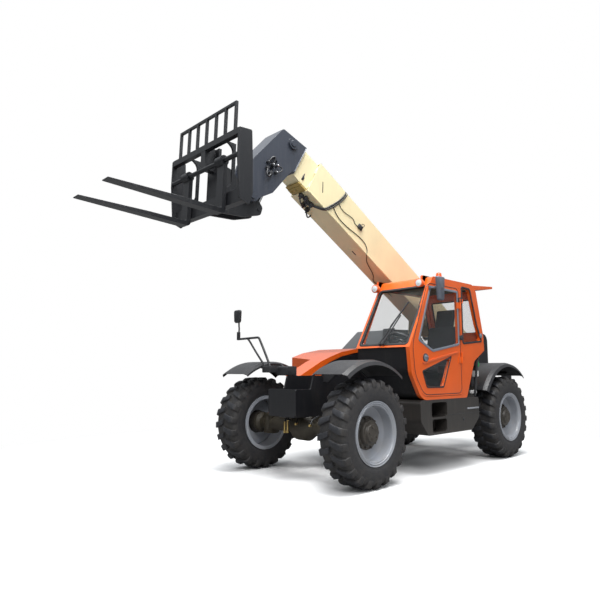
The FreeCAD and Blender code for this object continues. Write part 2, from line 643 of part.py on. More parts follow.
def fork(name, side):
    """A forged pallet fork: an eye on the shaft, a shank and a tapered blade."""
    x, _, z = at_head_pin()
    piece = Piece(name, (x, 0, z), S.carriage_tilt)
    y = side * S.fork_spacing / 2
    low = S.carriage_bottom - S.fork_drop
    heel, face = S.fork_face_x - S.fork_thick, S.fork_face_x
    low_y, high_y = y - S.fork_width / 2, y + S.fork_width / 2
    shaft = (S.fork_shaft_x, S.fork_shaft_z)
    piece.pad("side", [
        (heel, low, 45), (face + S.fork_length, low + 22, 4), (face + S.fork_length, low + 34, 4),
        (face + 500, low + S.fork_thick), (face, low + S.fork_thick, 25), (face, S.fork_shaft_z), (heel, S.fork_shaft_z),
    ], low_y, high_y)
    piece.disc("side", shaft, S.fork_eye_radius, low_y, high_y)
    piece.bore("side", shaft, S.fork_shaft_radius + S.running_clearance, low_y, high_y)


def cylinder(name, base, eye, y, sizes, base_pin=None):
    """A hydraulic cylinder between two pins: a barrel with a base eye, and a rod with its eye."""
    radius, rod_radius, length, eye_radius, rod_start = sizes
    rise, run = eye[1] - base[1], eye[0] - base[0]
    reach = root(rise * rise + run * run)
    angle = direction(rise, run)
    width = radius * EYE_WIDTH
    base_pin = base_pin or S.cylinder_pin_radius
    barrel = Piece(name + "_barrel", (base[0], y, base[1]), angle)
    bore = rod_radius + S.running_clearance
    barrel.turn("side", [
        (base_pin + 8, 0), (base_pin + 8, radius - 8), (length - 60, radius - 8), (length - 52, radius),
        (length, radius), (length, bore), (110, bore), (110, 0),
    ])
    barrel.disc("side", (0, 0), base_pin + 24, -width, width)
    barrel.bore("side", (0, 0), base_pin + S.running_clearance, -width, width)
    rod = Piece(name + "_rod", (base[0], y, base[1]), angle)
    rod.turn("side", [
        (rod_start, 0), (rod_start, rod_radius), (reach - eye_radius + 8, rod_radius), (reach - eye_radius + 8, 0),
    ])
    rod.disc("side", (reach, 0), eye_radius, -width, width)
    rod.bore("side", (reach, 0), S.cylinder_pin_radius, -width, width)


EYE_WIDTH = 1.1


def cylinders():
    cylinder("lift_cylinder", (S.lift_base_x, S.lift_base_z), on_boom(S.lift_lug_u, S.lift_lug_w), S.lift_y, (
        S.lift_barrel_radius, S.lift_rod_radius, S.lift_barrel_length, S.lift_eye_radius, S.lift_rod_start,
    ))
    cylinder("levelling_cylinder", (S.comp_base_x, S.comp_base_z), on_boom(S.comp_lug_u, S.comp_lug_w), S.comp_y, (
        S.comp_barrel_radius, S.comp_rod_radius, S.comp_barrel_length, S.comp_eye_radius, S.comp_rod_start,
    ))
    pin_x, _, pin_z = at_head_pin()
    cos_tilt, sin_tilt = cosine(S.carriage_tilt), sine(S.carriage_tilt)
    eye_x = pin_x + S.tilt_eye_x * cos_tilt - S.tilt_eye_z * sin_tilt
    eye_z = pin_z + S.tilt_eye_x * sin_tilt + S.tilt_eye_z * cos_tilt
    cylinder("tilt_cylinder", on_boom(S.tilt_base_u, S.tilt_base_w), (eye_x, eye_z), 0, (
        S.tilt_barrel_radius, S.tilt_rod_radius, S.tilt_barrel_length, S.tilt_eye_radius, S.tilt_rod_start,
    ), S.tilt_base_radius)


def cab_outline(inset=0):
    """The cab's side view above the waist, as outer corners moved inwards by an inset."""
    return [
        (S.cab_front_x - inset * 1.2, S.cab_waist), (S.cab_front_x - 610 - inset * 0.7, S.cab_top - inset, 70),
        (S.cab_rear_x + 305 + inset * 0.6, S.cab_top - inset, 60), (S.cab_rear_x + 190 + inset, S.cab_top - 100 - inset * 0.6, 60),
        (S.cab_rear_x + 10 + inset, 1930, 60), (S.cab_rear_x + inset, S.cab_waist),
    ]


def windscreen_outline(gap=0):
    """The windscreen's opening seen from the front; a gap makes it smaller all round."""
    return rectangle(S.cab_right + S.cab_wall + gap, S.cab_waist + 45 + gap, S.cab_left - S.cab_wall - gap,
                     S.windscreen_top - gap, 40)


def rear_window_outline(gap=0):
    """The rear window's opening seen from behind; a gap makes it smaller all round."""
    return rectangle(S.cab_right + S.cab_wall + 30 + gap, S.rear_window_low + gap, S.cab_left - S.cab_wall - 30 - gap,
                     S.rear_window_top - gap, 40)


def cab_frame():
    """The orange cab: roof and pillars above the waist, and the left side ring round the door."""
    piece = Piece("cab_frame")
    left, right, wall = S.cab_left, S.cab_right, S.cab_wall
    piece.pad("side", cab_outline(), right, left)
    piece.pocket("side", [(S.cab_front_x - wall * 1.2 + 6, S.cab_waist - 10)] + cab_outline(wall)[1:-1]
                 + [(S.cab_rear_x + wall, S.cab_waist - 10)], right + wall, left - wall)
    piece.pad("side", [
        (S.cab_front_x, S.cab_waist), (S.cab_front_x - 40, 1350, 200), (S.cab_front_x - 260, S.cab_floor, 220),
        (S.pillar_x - 120, S.cab_floor, 40), (S.pillar_x - 380, S.cab_waist - 164, 60), (S.cab_rear_x, S.cab_waist),
    ], left - wall, left)
    gap = S.door_gap
    piece.pocket("side", door_outline(-gap), left - wall, left)
    piece.pocket("side", [
        (S.pillar_x - 60, 1790, 20), (S.pillar_x - 70, 2630, 30), (S.cab_rear_x + 385, 2620, 70),
        (S.cab_rear_x + 205, 2100, 120), (S.cab_rear_x + 75, 1850, 50),
    ], left - wall, left)
    piece.pocket("side", [
        (S.cab_front_x - 130, S.cab_waist + 60, 30), (S.cab_front_x - 600, 2600, 60), (S.cab_rear_x + 270, 2600, 60),
        (S.cab_rear_x + 90, 1930, 40), (S.cab_rear_x + 90, S.cab_waist + 60, 40),
    ], right, right + wall)
    piece.pocket("front", windscreen_outline(), S.cab_front_x - 640, S.cab_front_x)
    piece.pocket("front", rear_window_outline(), S.cab_rear_x, S.cab_rear_x + 400)
    piece.pad("side", [
        (S.cab_rear_x + 330, S.cab_top - 70), (S.cab_rear_x + 330, S.cab_top - 8), (S.cab_rear_x - 445, S.cab_top + 52, 8),
        (S.cab_rear_x - 445, S.cab_top + 14, 8), (S.cab_rear_x + 180, S.cab_top - 70, 30),
    ], right + 40, left - 40)
    for z in (1500, 2300):
        top = z + S.hinge_height + S.running_clearance
        piece.disc("top", (S.pillar_x, S.hinge_y), S.hinge_radius, top, top + 60)
        piece.pad("top", rectangle(S.pillar_x - 90, left - 2, S.pillar_x, left + 10), top, top + 60)


def door_outline(grow=0):
    """The door's outline in the side view; grow makes it smaller on all sides."""
    return [
        (S.cab_front_x - 520 - grow, S.cab_top - 95 + grow * 0, 60), (S.cab_front_x - 62 - grow, 1745, 260),
        (S.cab_front_x - 100 - grow, 1330, 240), (S.cab_front_x - 300, S.cab_floor + 45 + grow, 200),
        (S.pillar_x + grow, S.cab_floor + 45 + grow, 20), (S.pillar_x + grow, S.cab_top - 95, 20),
    ]


def door_windows():
    """The outlines of the door's upper window and of the low one beside the driver's feet."""
    return [
        (S.cab_front_x - 545, 2545, 40), (S.cab_front_x - 230, 1790, 60), (S.cab_front_x - 560, 1663, 40),
        (S.pillar_x + 60, 1776, 40), (S.pillar_x + 60, 2545, 40),
    ], [
        (S.cab_front_x - 300, 1374, 30), (S.cab_front_x - 1014, 1571, 30), (S.cab_front_x - 790, 1175, 30),
        (S.cab_front_x - 400, 1181, 60),
    ]


def door():
    """The cab door: a frame round the window, a lower panel with a low window, and two hinges."""
    piece = Piece("door_frame")
    outer, inner = S.cab_left, S.cab_left - 48
    piece.pad("side", door_outline(), inner, outer)
    for window in door_windows():
        piece.pocket("side", window, inner, outer)
    hinge_x = S.pillar_x
    for z in (1500, 2300):
        piece.disc("top", (hinge_x, S.hinge_y), S.hinge_radius, z, z + S.hinge_height)
        piece.pad("top", rectangle(hinge_x, S.cab_left - 2, hinge_x + 90, S.cab_left + 10), z, z + S.hinge_height)


def door_glass():
    piece = Piece("door_glass")
    middle = S.cab_left - 24
    for window in door_windows():
        piece.pad("side", window, middle, middle + S.glass_thick)


def cab_glass():
    """The fixed glass: windscreen, rear window, right side window and left quarter window."""
    piece = Piece("cab_glass")
    left, right, wall, thick = S.cab_left, S.cab_right, S.cab_wall, S.glass_thick
    x, z = S.cab_front_x, S.cab_waist
    rear, low, top = S.cab_rear_x, S.rear_window_low - 5, S.rear_window_top + 5
    across = (right + wall, left - wall)
    piece.pad("front", windscreen_outline(0.2), x - 600, x)
    piece.pocket("side", [
        (x - 78 + thick, z + 40), (x + 10, z + 40), (x + 10, S.windscreen_top + 5), (x - 575 + thick, S.windscreen_top + 5),
    ], *across)
    piece.pocket("side", [
        (x - 620, z + 40), (x - 78, z + 40), (x - 575, S.windscreen_top + 5), (x - 620, S.windscreen_top + 5),
    ], *across)
    piece.pad("front", rear_window_outline(0.2), rear + 20, rear + 220)
    piece.pocket("side", [(rear + 42 + thick, low), (rear + 230, low), (rear + 230, top), (rear + 182 + thick, top)], *across)
    piece.pocket("side", [(rear + 10, low), (rear + 42, low), (rear + 182, top), (rear + 10, top)], *across)
    piece.pad("side", [
        (x - 105, z + 40), (x - 640, 2620), (rear + 330, 2620), (rear + 75, 1935), (rear + 75, z + 40),
    ], right + wall, right + wall + thick)
    piece.pad("side", [
        (S.pillar_x - 45, 1770), (rear + 62, 1830), (rear + 185, 2110), (rear + 345, 2640), (S.pillar_x - 45, 2645),
    ], left - wall - thick, left - wall)


def cab_base():
    """The black lower cab: floor, front, right and rear walls below the waist."""
    piece = Piece("cab_base")
    left, right, wall = S.cab_left - S.cab_wall, S.cab_right, 30
    front, rear, floor, top = S.cab_front_x - 40, S.cab_rear_x + 40, S.cab_floor, S.cab_waist
    side_view = [(front, top), (front - 20, 1380, 200), (front - 230, floor, 200), (rear + 480, floor, 30), (rear + 300, 1500, 60), (rear, top)]
    piece.pad("side", side_view, right, left)
    piece.pocket("side", [
        (front - wall, top), (front - wall - 20, 1390, 180), (front - wall - 215, floor + wall, 160),
        (rear + wall + 480, floor + wall, 20), (rear + wall + 310, 1510, 50), (rear + wall, top),
    ], right + wall, left)


def seat():
    piece = Piece("seat")
    y = (S.cab_left + S.cab_right) / 2
    low, high = y - 240, y + 240
    piece.pad("side", rectangle(-1380, S.cab_floor + 30, -1060, 1350), low + 60, high - 60)
    piece.pad("side", [
        (-1480, 1340, 30), (-930, 1350, 40), (-930, 1460, 50), (-1330, 1450, 40), (-1500, 2080, 40), (-1590, 2050, 40),
    ], low, high)
    piece.pad("side", [(-1510, 2050), (-1580, 2030), (-1680, 2330, 40), (-1590, 2350, 40)], low + 100, high - 100)


def dashboard():
    piece = Piece("dashboard")
    piece.pad("side", [
        (-60, S.cab_waist + 10), (-60, 1500), (-330, 1500, 60), (-400, 1640, 40), (-230, 1780, 50),
    ], S.cab_right + 70, S.cab_left - S.cab_wall - 20)
    piece.pad("side", [(-340, S.cab_floor + 30), (-240, 1520), (-340, 1520), (-440, S.cab_floor + 30)],
              (S.cab_left + S.cab_right) / 2 - 90, (S.cab_left + S.cab_right) / 2 + 90)


def steering_wheel():
    """The steering wheel on its column, tilted towards the seat."""
    piece = Piece("steering_wheel", (-315, (S.cab_left + S.cab_right) / 2, 1710), 129.5)
    piece.disc("front", (0, 0), 195, 105, 132)
    piece.bore("front", (0, 0), 168, 105, 132)
    piece.disc("front", (0, 0), 28, 0, 112)
    piece.disc("front", (0, 0), 48, 106, 130)
    piece.pad("front", rectangle(-172, -18, 172, 18), 112, 126)
    piece.pad("front", rectangle(-18, 0, 18, 172), 112, 126)


def step_tank():
    """The tank box under the cab with a boarding step let into it, and the service bay behind it."""
    piece = Piece("step_tank")
    inner, outer = S.frame_half_width, S.cab_left
    piece.pad("side", [
        (-159, S.cab_floor, 60), (-1700, S.cab_floor, 40), (-1700, 700, 120), (-1480, S.sill_bottom, 60),
        (-330, S.sill_bottom, 60), (-159, 720, 100),
    ], inner, outer)
    piece.pocket("side", rectangle(-805, 760, -415, 960, 40), outer - 240, outer)
    piece.pocket("side", rectangle(-790, 560, -430, 735, 40), outer - 200, outer)
    outer = S.cab_left - S.cab_wall
    piece.pad("side", [
        (-1440, S.cab_floor - 2), (-1640, 1480, 40), (-1800, 1560, 60), (-1800, 1180, 60), (-1680, S.cab_floor - 2),
    ], outer - 420, outer)
    piece.pocket("side", [
        (-1470, S.cab_floor + 30), (-1655, 1445, 40), (-1770, 1500, 40), (-1770, 1190, 40), (-1670, S.cab_floor + 30),
    ], outer - 395, outer)
    piece.pad("side", rectangle(-1660, S.cab_floor + 28, -1520, 1190, 12), outer - 396, outer - 60)


HOOD_HINGES = (-1050, -480)


def engine_hood():
    """The hood: a hollow cover that slopes down to the front and hinges at the rear."""
    piece = Piece("engine_hood", (S.hood_hinge_x, 0, S.hood_hinge_z))
    inner, outer, wall = -S.frame_half_width - 25, -S.hood_outer, S.hood_wall
    bottom = S.hood_bottom - S.hood_hinge_z
    nose = 638 - S.hood_hinge_x
    piece.pad("side", [
        (nose, bottom), (1365, -224, 200), (1171, -155, 300), (911, -73, 300), (500, -6, 300), (0, 0, 10), (0, bottom),
    ], outer, inner)
    piece.pocket("top", [
        (nose + 20, outer - 20), (1149, outer - 20), (1149, outer, 30), (1277, -S.hood_step, 40), (nose + 20, -S.hood_step),
    ], bottom - 5, 20)
    piece.pocket("side", [
        (wall, bottom), (nose - wall * 2.3, bottom), (1365, -224 - wall), (1171, -155 - wall), (911, -73 - wall),
        (500, -6 - wall), (wall, -wall, 30),
    ], -S.hood_step + wall, inner - wall)
    piece.pocket("side", [
        (wall, bottom), (1120, bottom), (1120, -142 - wall), (911, -73 - wall), (500, -6 - wall), (wall, -wall, 30),
    ], outer + wall, -S.hood_step + wall)
    piece.pocket("side", [
        (-5, bottom), (1357, bottom), (1352, -308), (1172, -231), (912, -141), (517, -69), (-5, -40),
    ], inner - wall, inner)
    for low in HOOD_HINGES:
        piece.bore("side", (0, 0), S.hood_knuckle_radius + 5, low + 60, low + 130)
        piece.disc("side", (0, 0), S.hood_knuckle_radius, low, low + 60)
        piece.bore("side", (0, 0), S.hood_pin_radius + S.running_clearance, low, low + 60)


def engine_base():
    """The black engine tray, open at the top, with the inner panel that stands up under the hood's edge."""
    piece = Piece("engine_base")
    inner, outer = -S.frame_half_width, -S.hood_outer
    top = S.hood_bottom - 8
    piece.pad("side", [
        (-40, top), (-40, 900, 60), (-200, S.sill_bottom + 30, 120), (-1740, S.sill_bottom + 30, 60), (-1790, 760, 60),
        (-1790, 1150), (S.hood_hinge_x, 1150), (S.hood_hinge_x, top),
    ], outer, inner)
    piece.pocket("side", [
        (-65, top), (-65, 910, 50), (-210, S.sill_bottom + 55, 100), (-1720, S.sill_bottom + 55, 50), (-1765, 770, 50),
        (-1765, 1150), (S.hood_hinge_x, 1150), (S.hood_hinge_x, top),
    ], outer + 25, inner - 25)
    piece.pad("side", [
        (S.hood_hinge_x + 40, top - 20), (185, top - 20), (180, 1434), (4, 1511), (-256, 1601), (-650, 1673),
        (S.hood_hinge_x + 40, 1700),
    ], inner - 42, inner - 23)


def engine():
    """The engine block with its sump, rocker cover and fan."""
    piece = Piece("engine")
    y = -700
    piece.pad("side", rectangle(-1450, 700, -650, 1215, 30), y - 210, y + 210)
    piece.pad("side", rectangle(-1350, S.sill_bottom + 55, -750, 705, 20), y - 150, y + 150)
    piece.pad("side", rectangle(-1400, 1210, -700, 1302, 30), y - 120, y + 120)
    piece.disc("front", (y, 1000), 60, -650, -560)
    piece.disc("front", (y, 1000), 260, -560, -530)


def engine_cover():
    """The fixed rear engine cover with louvred slots through its walls."""
    piece = Piece("engine_cover")
    inner, outer = -S.frame_half_width - 65, -S.hood_outer + 20
    x = S.hood_hinge_x - 8
    piece.pad("side", [
        (x, 1150), (x, S.hood_hinge_z), (x - 470, 2100, 120), (x - 1060, 2120, 80), (x - 1060, 1560, 40), (x - 617, 1560), (x - 617, 1150),
    ], outer, inner)
    piece.pocket("side", [
        (x, 1150), (x, S.hood_hinge_z - 20), (x - 475, 2080, 110), (x - 1040, 2098, 60), (x - 1040, 1580, 20),
        (x - 597, 1580), (x - 597, 1150),
    ], outer + 20, inner - 20)
    for index in range(5):
        low = 1640 + index * 85
        piece.pocket("side", rectangle(x - 990, low, x - 560 + index * 30, low + 45, 20), outer, inner)
    hinge = (S.hood_hinge_x, S.hood_hinge_z)
    for low in HOOD_HINGES:
        piece.bore("side", hinge, S.hood_knuckle_radius + 5, low - 5, low + 65)
        piece.disc("side", hinge, S.hood_knuckle_radius, low + 65, low + 125)
        piece.disc("side", hinge, S.hood_pin_radius, low, low + 70)


def mirror_left():
    """The left mirror: a glass on a post, carried by an arm from the door's front bar."""
    piece = Piece("mirror_left")
    x, z, face = -608, 2530, S.cab_left + 0.2
    piece.pad("side", [(x - 60, z - 170, 40), (x + 60, z - 170, 40), (x + 90, z + 170, 40), (x - 90, z + 170, 40)], 1262, 1290)
    piece.disc("top", (x, 1240), 9, z - 150, z + 150)
    piece.pad("side", rectangle(x - 12, z - 12, x + 175, z + 12), 1240, 1264)
    piece.pad("side", rectangle(x + 150, z - 12, x + 175, z + 12), face, 1250)
    piece.pad("side", rectangle(x + 142, z - 32, x + 183, z + 32), face, 1192)


def mirror_right():
    """The right mirror on a pair of leaning tubes from the plate in front of the arch."""
    piece = Piece("mirror_right")
    piece.pad("front", [(-690, 1842), (-690, 1870), (-1190, 1870), (-1190, 2130), (-1218, 2130), (-1218, 1842)], 1016, 1044)
    piece.pad("front", [(-735, 1846), (-703, 1846), (-463, 1450), (-495, 1450)], 1018, 1042)
    piece.pad("front", [(-985, 1846), (-950, 1846), (-568, 1450), (-603, 1450)], 1018, 1042)
    piece.pad("front", rectangle(-1290, 2100, -1130, 2295, 36), 1040, 1075)
    piece.pad("side", rectangle(735, S.arch_top, 910, 1450, 30), -450, -S.frame_half_width + 20)
    piece.pad("side", rectangle(870, S.arch_top + 40, 1060, 1456, 14), -615, -446)


def lamps():
    piece = Piece("lamps")
    for y in (290, 1064):
        piece.disc("front", (y, 2605), 52, -425, -372)
        piece.disc("front", (y, 2605), 62, -445, -422)
        piece.pad("front", rectangle(y - 14, 2600, y + 14, S.cab_top + 12, 5), -452, -440)
        piece.pad("front", rectangle(y - 14, S.cab_top, y + 14, S.cab_top + 12), -660, -440)
    piece.disc("top", (-870, 1080), 55, S.cab_top, S.cab_top + 16)
    piece.disc("top", (-870, 1080), 42, S.cab_top + 16, S.cab_top + 100)
    for side in (1, -1):
        piece.pad("side", rectangle(S.rear_x + 60, S.counterweight_top, S.rear_x + 110, 1345), *sorted_span(side, 560, 740))
        piece.pad("side", rectangle(S.rear_x + 45, 1258, S.rear_x + 62, 1332, 8), *sorted_span(side, 575, 725))


def wipers():
    """The windscreen wiper: two parallel arms and a blade along the sloping glass."""
    piece = Piece("wipers", (S.cab_front_x - 10, 700, S.cab_waist + 40), 32)
    piece.disc("front", (0, 0), 16, -11, 34)
    piece.disc("front", (60, 0), 12, -11, 34)
    piece.pad("front", [(-8, 0), (8, 0), (168, 480), (152, 480)], 20, 32)
    piece.pad("front", [(54, 0), (66, 0), (196, 470), (184, 470)], 20, 32)
    piece.pad("front", [(66, 290), (80, 285), (240, 700), (226, 705)], 6, 22)


def build():
    """Make every sub-part."""
    for name, (axle_x, side) in WHEELS.items():
        tyre("tyre_" + name, axle_x, side)
        wheel("wheel_" + name, axle_x, side)
        knuckle("knuckle_" + name, axle_x, side)
    axle("front_axle", S.front_axle_x)
    axle("rear_axle", S.rear_axle_x)
    chassis()
    counterweight()
    fenders("front_fenders", S.front_axle_x, 36, 38)
    fenders("rear_fenders", S.rear_axle_x, 58, 40)
    boom_outer()
    boom_inner()
    boom_head()
    carriage()
    fork("fork_left", 1)
    fork("fork_right", -1)
    cylinders()
    cab_frame()
    cab_glass()
    cab_base()
    door()
    door_glass()
    seat()
    dashboard()
    steering_wheel()
    step_tank()
    engine_hood()
    engine_base()
    engine()
    engine_cover()
    mirror_left()
    mirror_right()
    lamps()
    wipers()


def export():
    """Check every object and shape, then write one STEP file for each sub-part."""
    for item in doc.Objects:
        if {"Invalid", "Error"} & set(item.State):
            raise ValueError(f"{item.Name} is {item.State}")
    os.makedirs("parts", exist_ok=True)
    for item in doc.Objects:
        if item.TypeId == "PartDesign::Body":
            shape = item.Shape
            if shape.isNull() or not shape.isValid():
                raise ValueError(f"{item.Label} has a bad shape")
            shape.exportStep(f"parts/{item.Label}.step")


build()
export()
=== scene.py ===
import json
import math

import bpy
from mathutils import Matrix, Vector


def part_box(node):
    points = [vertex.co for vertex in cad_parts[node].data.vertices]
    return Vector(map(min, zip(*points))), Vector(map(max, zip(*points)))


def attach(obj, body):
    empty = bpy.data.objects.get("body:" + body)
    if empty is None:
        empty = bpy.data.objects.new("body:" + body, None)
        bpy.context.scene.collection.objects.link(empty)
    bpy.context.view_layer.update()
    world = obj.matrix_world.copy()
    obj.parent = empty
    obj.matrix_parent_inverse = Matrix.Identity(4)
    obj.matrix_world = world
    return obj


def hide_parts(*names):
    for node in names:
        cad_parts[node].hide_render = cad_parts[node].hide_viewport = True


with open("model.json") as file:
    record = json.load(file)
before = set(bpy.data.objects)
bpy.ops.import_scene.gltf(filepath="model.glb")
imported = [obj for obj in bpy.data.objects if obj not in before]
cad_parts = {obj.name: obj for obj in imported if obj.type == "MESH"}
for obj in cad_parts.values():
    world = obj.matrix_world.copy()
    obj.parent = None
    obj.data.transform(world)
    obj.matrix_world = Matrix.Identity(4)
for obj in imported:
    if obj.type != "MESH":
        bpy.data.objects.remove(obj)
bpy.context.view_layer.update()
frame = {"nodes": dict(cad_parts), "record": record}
node = frame["nodes"]
joint = {entry["name"]: entry for entry in frame["record"]["behaviour"]["joints"]}


# --- Chassis, axles and black steelwork -------------------------------------------------------
# Thick plate welded into a frame and painted satin black, with the axle castings bolted under it.
# Dust settles low down.


class Value:
    """A shader value that joins others with Python's own signs."""

    def __init__(self, wires, socket):
        self.wires, self.socket = wires, socket

    def maths(self, operation, *others):
        made = self.wires.nodes.new("ShaderNodeMath")
        made.operation = operation
        for place, item in enumerate((self, *others)):
            if isinstance(item, Value):
                self.wires.links.new(item.socket, made.inputs[place])
            else:
                made.inputs[place].default_value = item
        return Value(self.wires, made.outputs[0])

    def __add__(self, other):
        return self.maths("ADD", other)

    __radd__ = __add__

    def __mul__(self, other):
        return self.maths("MULTIPLY", other)

    __rmul__ = __mul__

    def __sub__(self, other):
        return self.maths("SUBTRACT", other)

    def __rsub__(self, other):
        return (self * -1.0) + other

    def over(self, low, high):
        """0 at low and 1 at high, and between them in line."""
        return (self - low).maths("MULTIPLY", 1 / (high - low)).maths("MINIMUM", 1.0).maths("MAXIMUM", 0.0)


class Finish:
    """A material whose nodes are added by type, settings and inputs."""

    def __init__(self, name, metallic=0.0, coat=0.0, coat_roughness=0.1):
        self.material = bpy.data.materials.new(name)
        self.material.use_nodes = True
        self.wires = self.material.node_tree
        self.shader = self.wires.nodes["Principled BSDF"]
        self.shader.inputs["Metallic"].default_value = metallic
        self.shader.inputs["Coat Weight"].default_value = coat
        self.shader.inputs["Coat Roughness"].default_value = coat_roughness
        self.place = self.node("ShaderNodeTexCoord", out="Object")

    def node(self, kind, settings=None, inputs=None, out=0):
        made = self.wires.nodes.new(kind)
        for name, setting in (settings or {}).items():
            setattr(made, name, setting)
        for name, item in (inputs or {}).items():
            if isinstance(item, Value):
                self.wires.links.new(item.socket, made.inputs[name])
            elif isinstance(item, tuple) and made.inputs[name].type == "RGBA":
                made.inputs[name].default_value = (*item, 1)
            else:
                made.inputs[name].default_value = item
        return Value(self.wires, made.outputs[out])

    def noise(self, scale, detail=4.0, roughness=0.5, stretch=(1, 1, 1)):
        moved = self.node("ShaderNodeMapping", None, {"Vector": self.place, "Scale": stretch})
        return self.node("ShaderNodeTexNoise", None, {
            "Vector": moved, "Scale": scale, "Detail": detail, "Roughness": roughness,
        })

    def mix(self, amount, first, second):
        return self.node("ShaderNodeMix", {"data_type": "RGBA"}, {0: amount, 6: first, 7: second}, out=2)

    def part(self, axis):
        made = self.wires.nodes.new("ShaderNodeSeparateXYZ")
        self.wires.links.new(self.place.socket, made.inputs[0])
        return Value(self.wires, made.outputs[axis])

    def feed(self, colour=None, roughness=None, height=None, depth=0.001, rounding=0.0):
        """Join what varies to the shader: colour, roughness, and a bump over rounded edges."""
        for name, item in (("Base Color", colour), ("Roughness", roughness)):
            if isinstance(item, Value):
                self.wires.links.new(item.socket, self.shader.inputs[name])
            elif item is not None:
                self.shader.inputs[name].default_value = (*item, 1) if name == "Base Color" else item
        inputs = {}
        if rounding:
            inputs["Normal"] = self.node("ShaderNodeBevel", {"samples": 4}, {"Radius": rounding})
        if height is not None:
            inputs.update({"Height": height, "Distance": depth, "Strength": 1.0})
            bumped = self.node("ShaderNodeBump", None, inputs)
            self.wires.links.new(bumped.socket, self.shader.inputs["Normal"])
        elif rounding:
            self.wires.links.new(inputs["Normal"].socket, self.shader.inputs["Normal"])
        return self.material


def painted(name, colour, roughness, coat, dust_colour, dust_top, rounding=0.004):
    """Sprayed steel: faint clouds in the colour, orange peel in the gloss, and dust near the ground."""
    finish = Finish(name, coat=coat, coat_roughness=0.12)
    cloud = finish.noise(1.7, 5)
    deep = tuple(channel * 0.86 for channel in colour)
    base = finish.mix(cloud.over(0.3, 0.7), deep, colour)
    low = 1 - finish.part(2).over(0.1, dust_top)
    dust = finish.noise(6.0, 8, 0.65).over(0.42, 0.75) * low * 0.55
    streak = finish.noise(30.0, 3, 0.6, (1, 1, 0.08)).over(0.52, 0.8) * 0.12
    shade = finish.mix(dust + streak, base, dust_colour)
    rough = finish.noise(90.0, 2) * 0.12 + roughness + dust * 0.4
    return finish.feed(shade, rough, finish.noise(420.0, 2), 0.00025, rounding)


def dress(names, material):
    """Give CAD nodes their finished surface."""
    for name in names:
        surface = node[name].data
        surface.materials.clear()
        surface.materials.append(material)


black_steel = painted("black steel paint", (0.009, 0.0095, 0.012), 0.36, 0.12, (0.12, 0.105, 0.085), 0.9)
dress(("chassis_frame", "counterweight", "step_tank", "engine_base", "cab_base"), black_steel)
olive_casting = painted("olive brown casting paint", (0.05, 0.042, 0.027), 0.5, 0.0, (0.16, 0.13, 0.1), 0.8)
dress([name for name in node if name.startswith("knuckle") or name.endswith("axle")], olive_casting)


# --- Tyres ------------------------------------------------------------------------------------
# Bias traction tyres of black rubber, vulcanised in a mould: a smooth carcass with a bead ring on
# the sidewall, and two staggered rows of swept lugs that wrap over the shoulder.


def clear_selection():
    bpy.ops.object.select_all(action="DESELECT")


def drawn_line(name, points, closed=False):
    """A line of edges drawn point by point, left in edit mode."""
    clear_selection()
    bpy.ops.mesh.primitive_plane_add(size=0.01, location=(0, 0, 0))
    drawn = bpy.context.object
    drawn.name = drawn.data.name = name
    bpy.ops.object.mode_set(mode="EDIT")
    bpy.ops.mesh.merge(type="CENTER")
    bpy.ops.transform.translate(value=points[0])
    for here, there in zip(points, points[1:]):
        step = Vector(there) - Vector(here)
        bpy.ops.mesh.extrude_vertices_move(TRANSFORM_OT_translate={"value": step})
    bpy.ops.mesh.select_all(action="SELECT")
    if closed:
        bpy.ops.mesh.edge_face_add()
    return drawn


def turned(name, points, centre, axis, steps=96):
    """A line turned all the way about an axis."""
    made = drawn_line(name, points)
    bpy.ops.mesh.spin(steps=steps, angle=math.tau, center=centre, axis=axis)
    bpy.ops.mesh.select_all(action="SELECT")
    bpy.ops.mesh.remove_doubles(threshold=0.00005)
    bpy.ops.mesh.normals_make_consistent(inside=False)
    bpy.ops.object.mode_set(mode="OBJECT")
    return made


def smooth(thing, degrees=32):
    clear_selection()
    thing.select_set(True)
    bpy.context.view_layer.objects.active = thing
    bpy.ops.object.shade_smooth_by_angle(angle=math.radians(degrees))


def settle(thing):
    """Apply what is still live, and bring the object to the origin with its place in its mesh."""
    clear_selection()
    thing.select_set(True)
    bpy.context.view_layer.objects.active = thing
    bpy.ops.object.convert(target="MESH")
    bpy.ops.object.transform_apply(location=True, rotation=True, scale=True)
    return thing


def bevelled(thing, width, segments=2, angle=35):
    """Round the sharp edges."""
    tool = thing.modifiers.new("rounded edges", "BEVEL")
    tool.width, tool.segments = width, segments
    tool.limit_method, tool.angle_limit = "ANGLE", math.radians(angle)
    tool.harden_normals = False
    return settle(thing)


def joined(name, things):
    clear_selection()
    for thing in things:
        thing.select_set(True)
    bpy.context.view_layer.objects.active = things[0]
    bpy.ops.object.join()
    whole = bpy.context.object
    whole.name = whole.data.name = name
    return whole


def copy_of(thing, name, move=Matrix()):
    twin = thing.copy()
    twin.data = thing.data.copy()
    twin.name = twin.data.name = name
    bpy.context.scene.collection.objects.link(twin)
    twin.data.transform(move)
    return twin


def finished(thing, material, body, slot, *replaced):
    """Paint a piece, fix it to its body, and hide the CAD parts it replaces; the slot it stands for is not used."""
    settle(thing)
    if material:
        thing.data.materials.clear()
        thing.data.materials.append(material)
    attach(thing, body)
    if replaced:
        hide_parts(*replaced)
    return thing


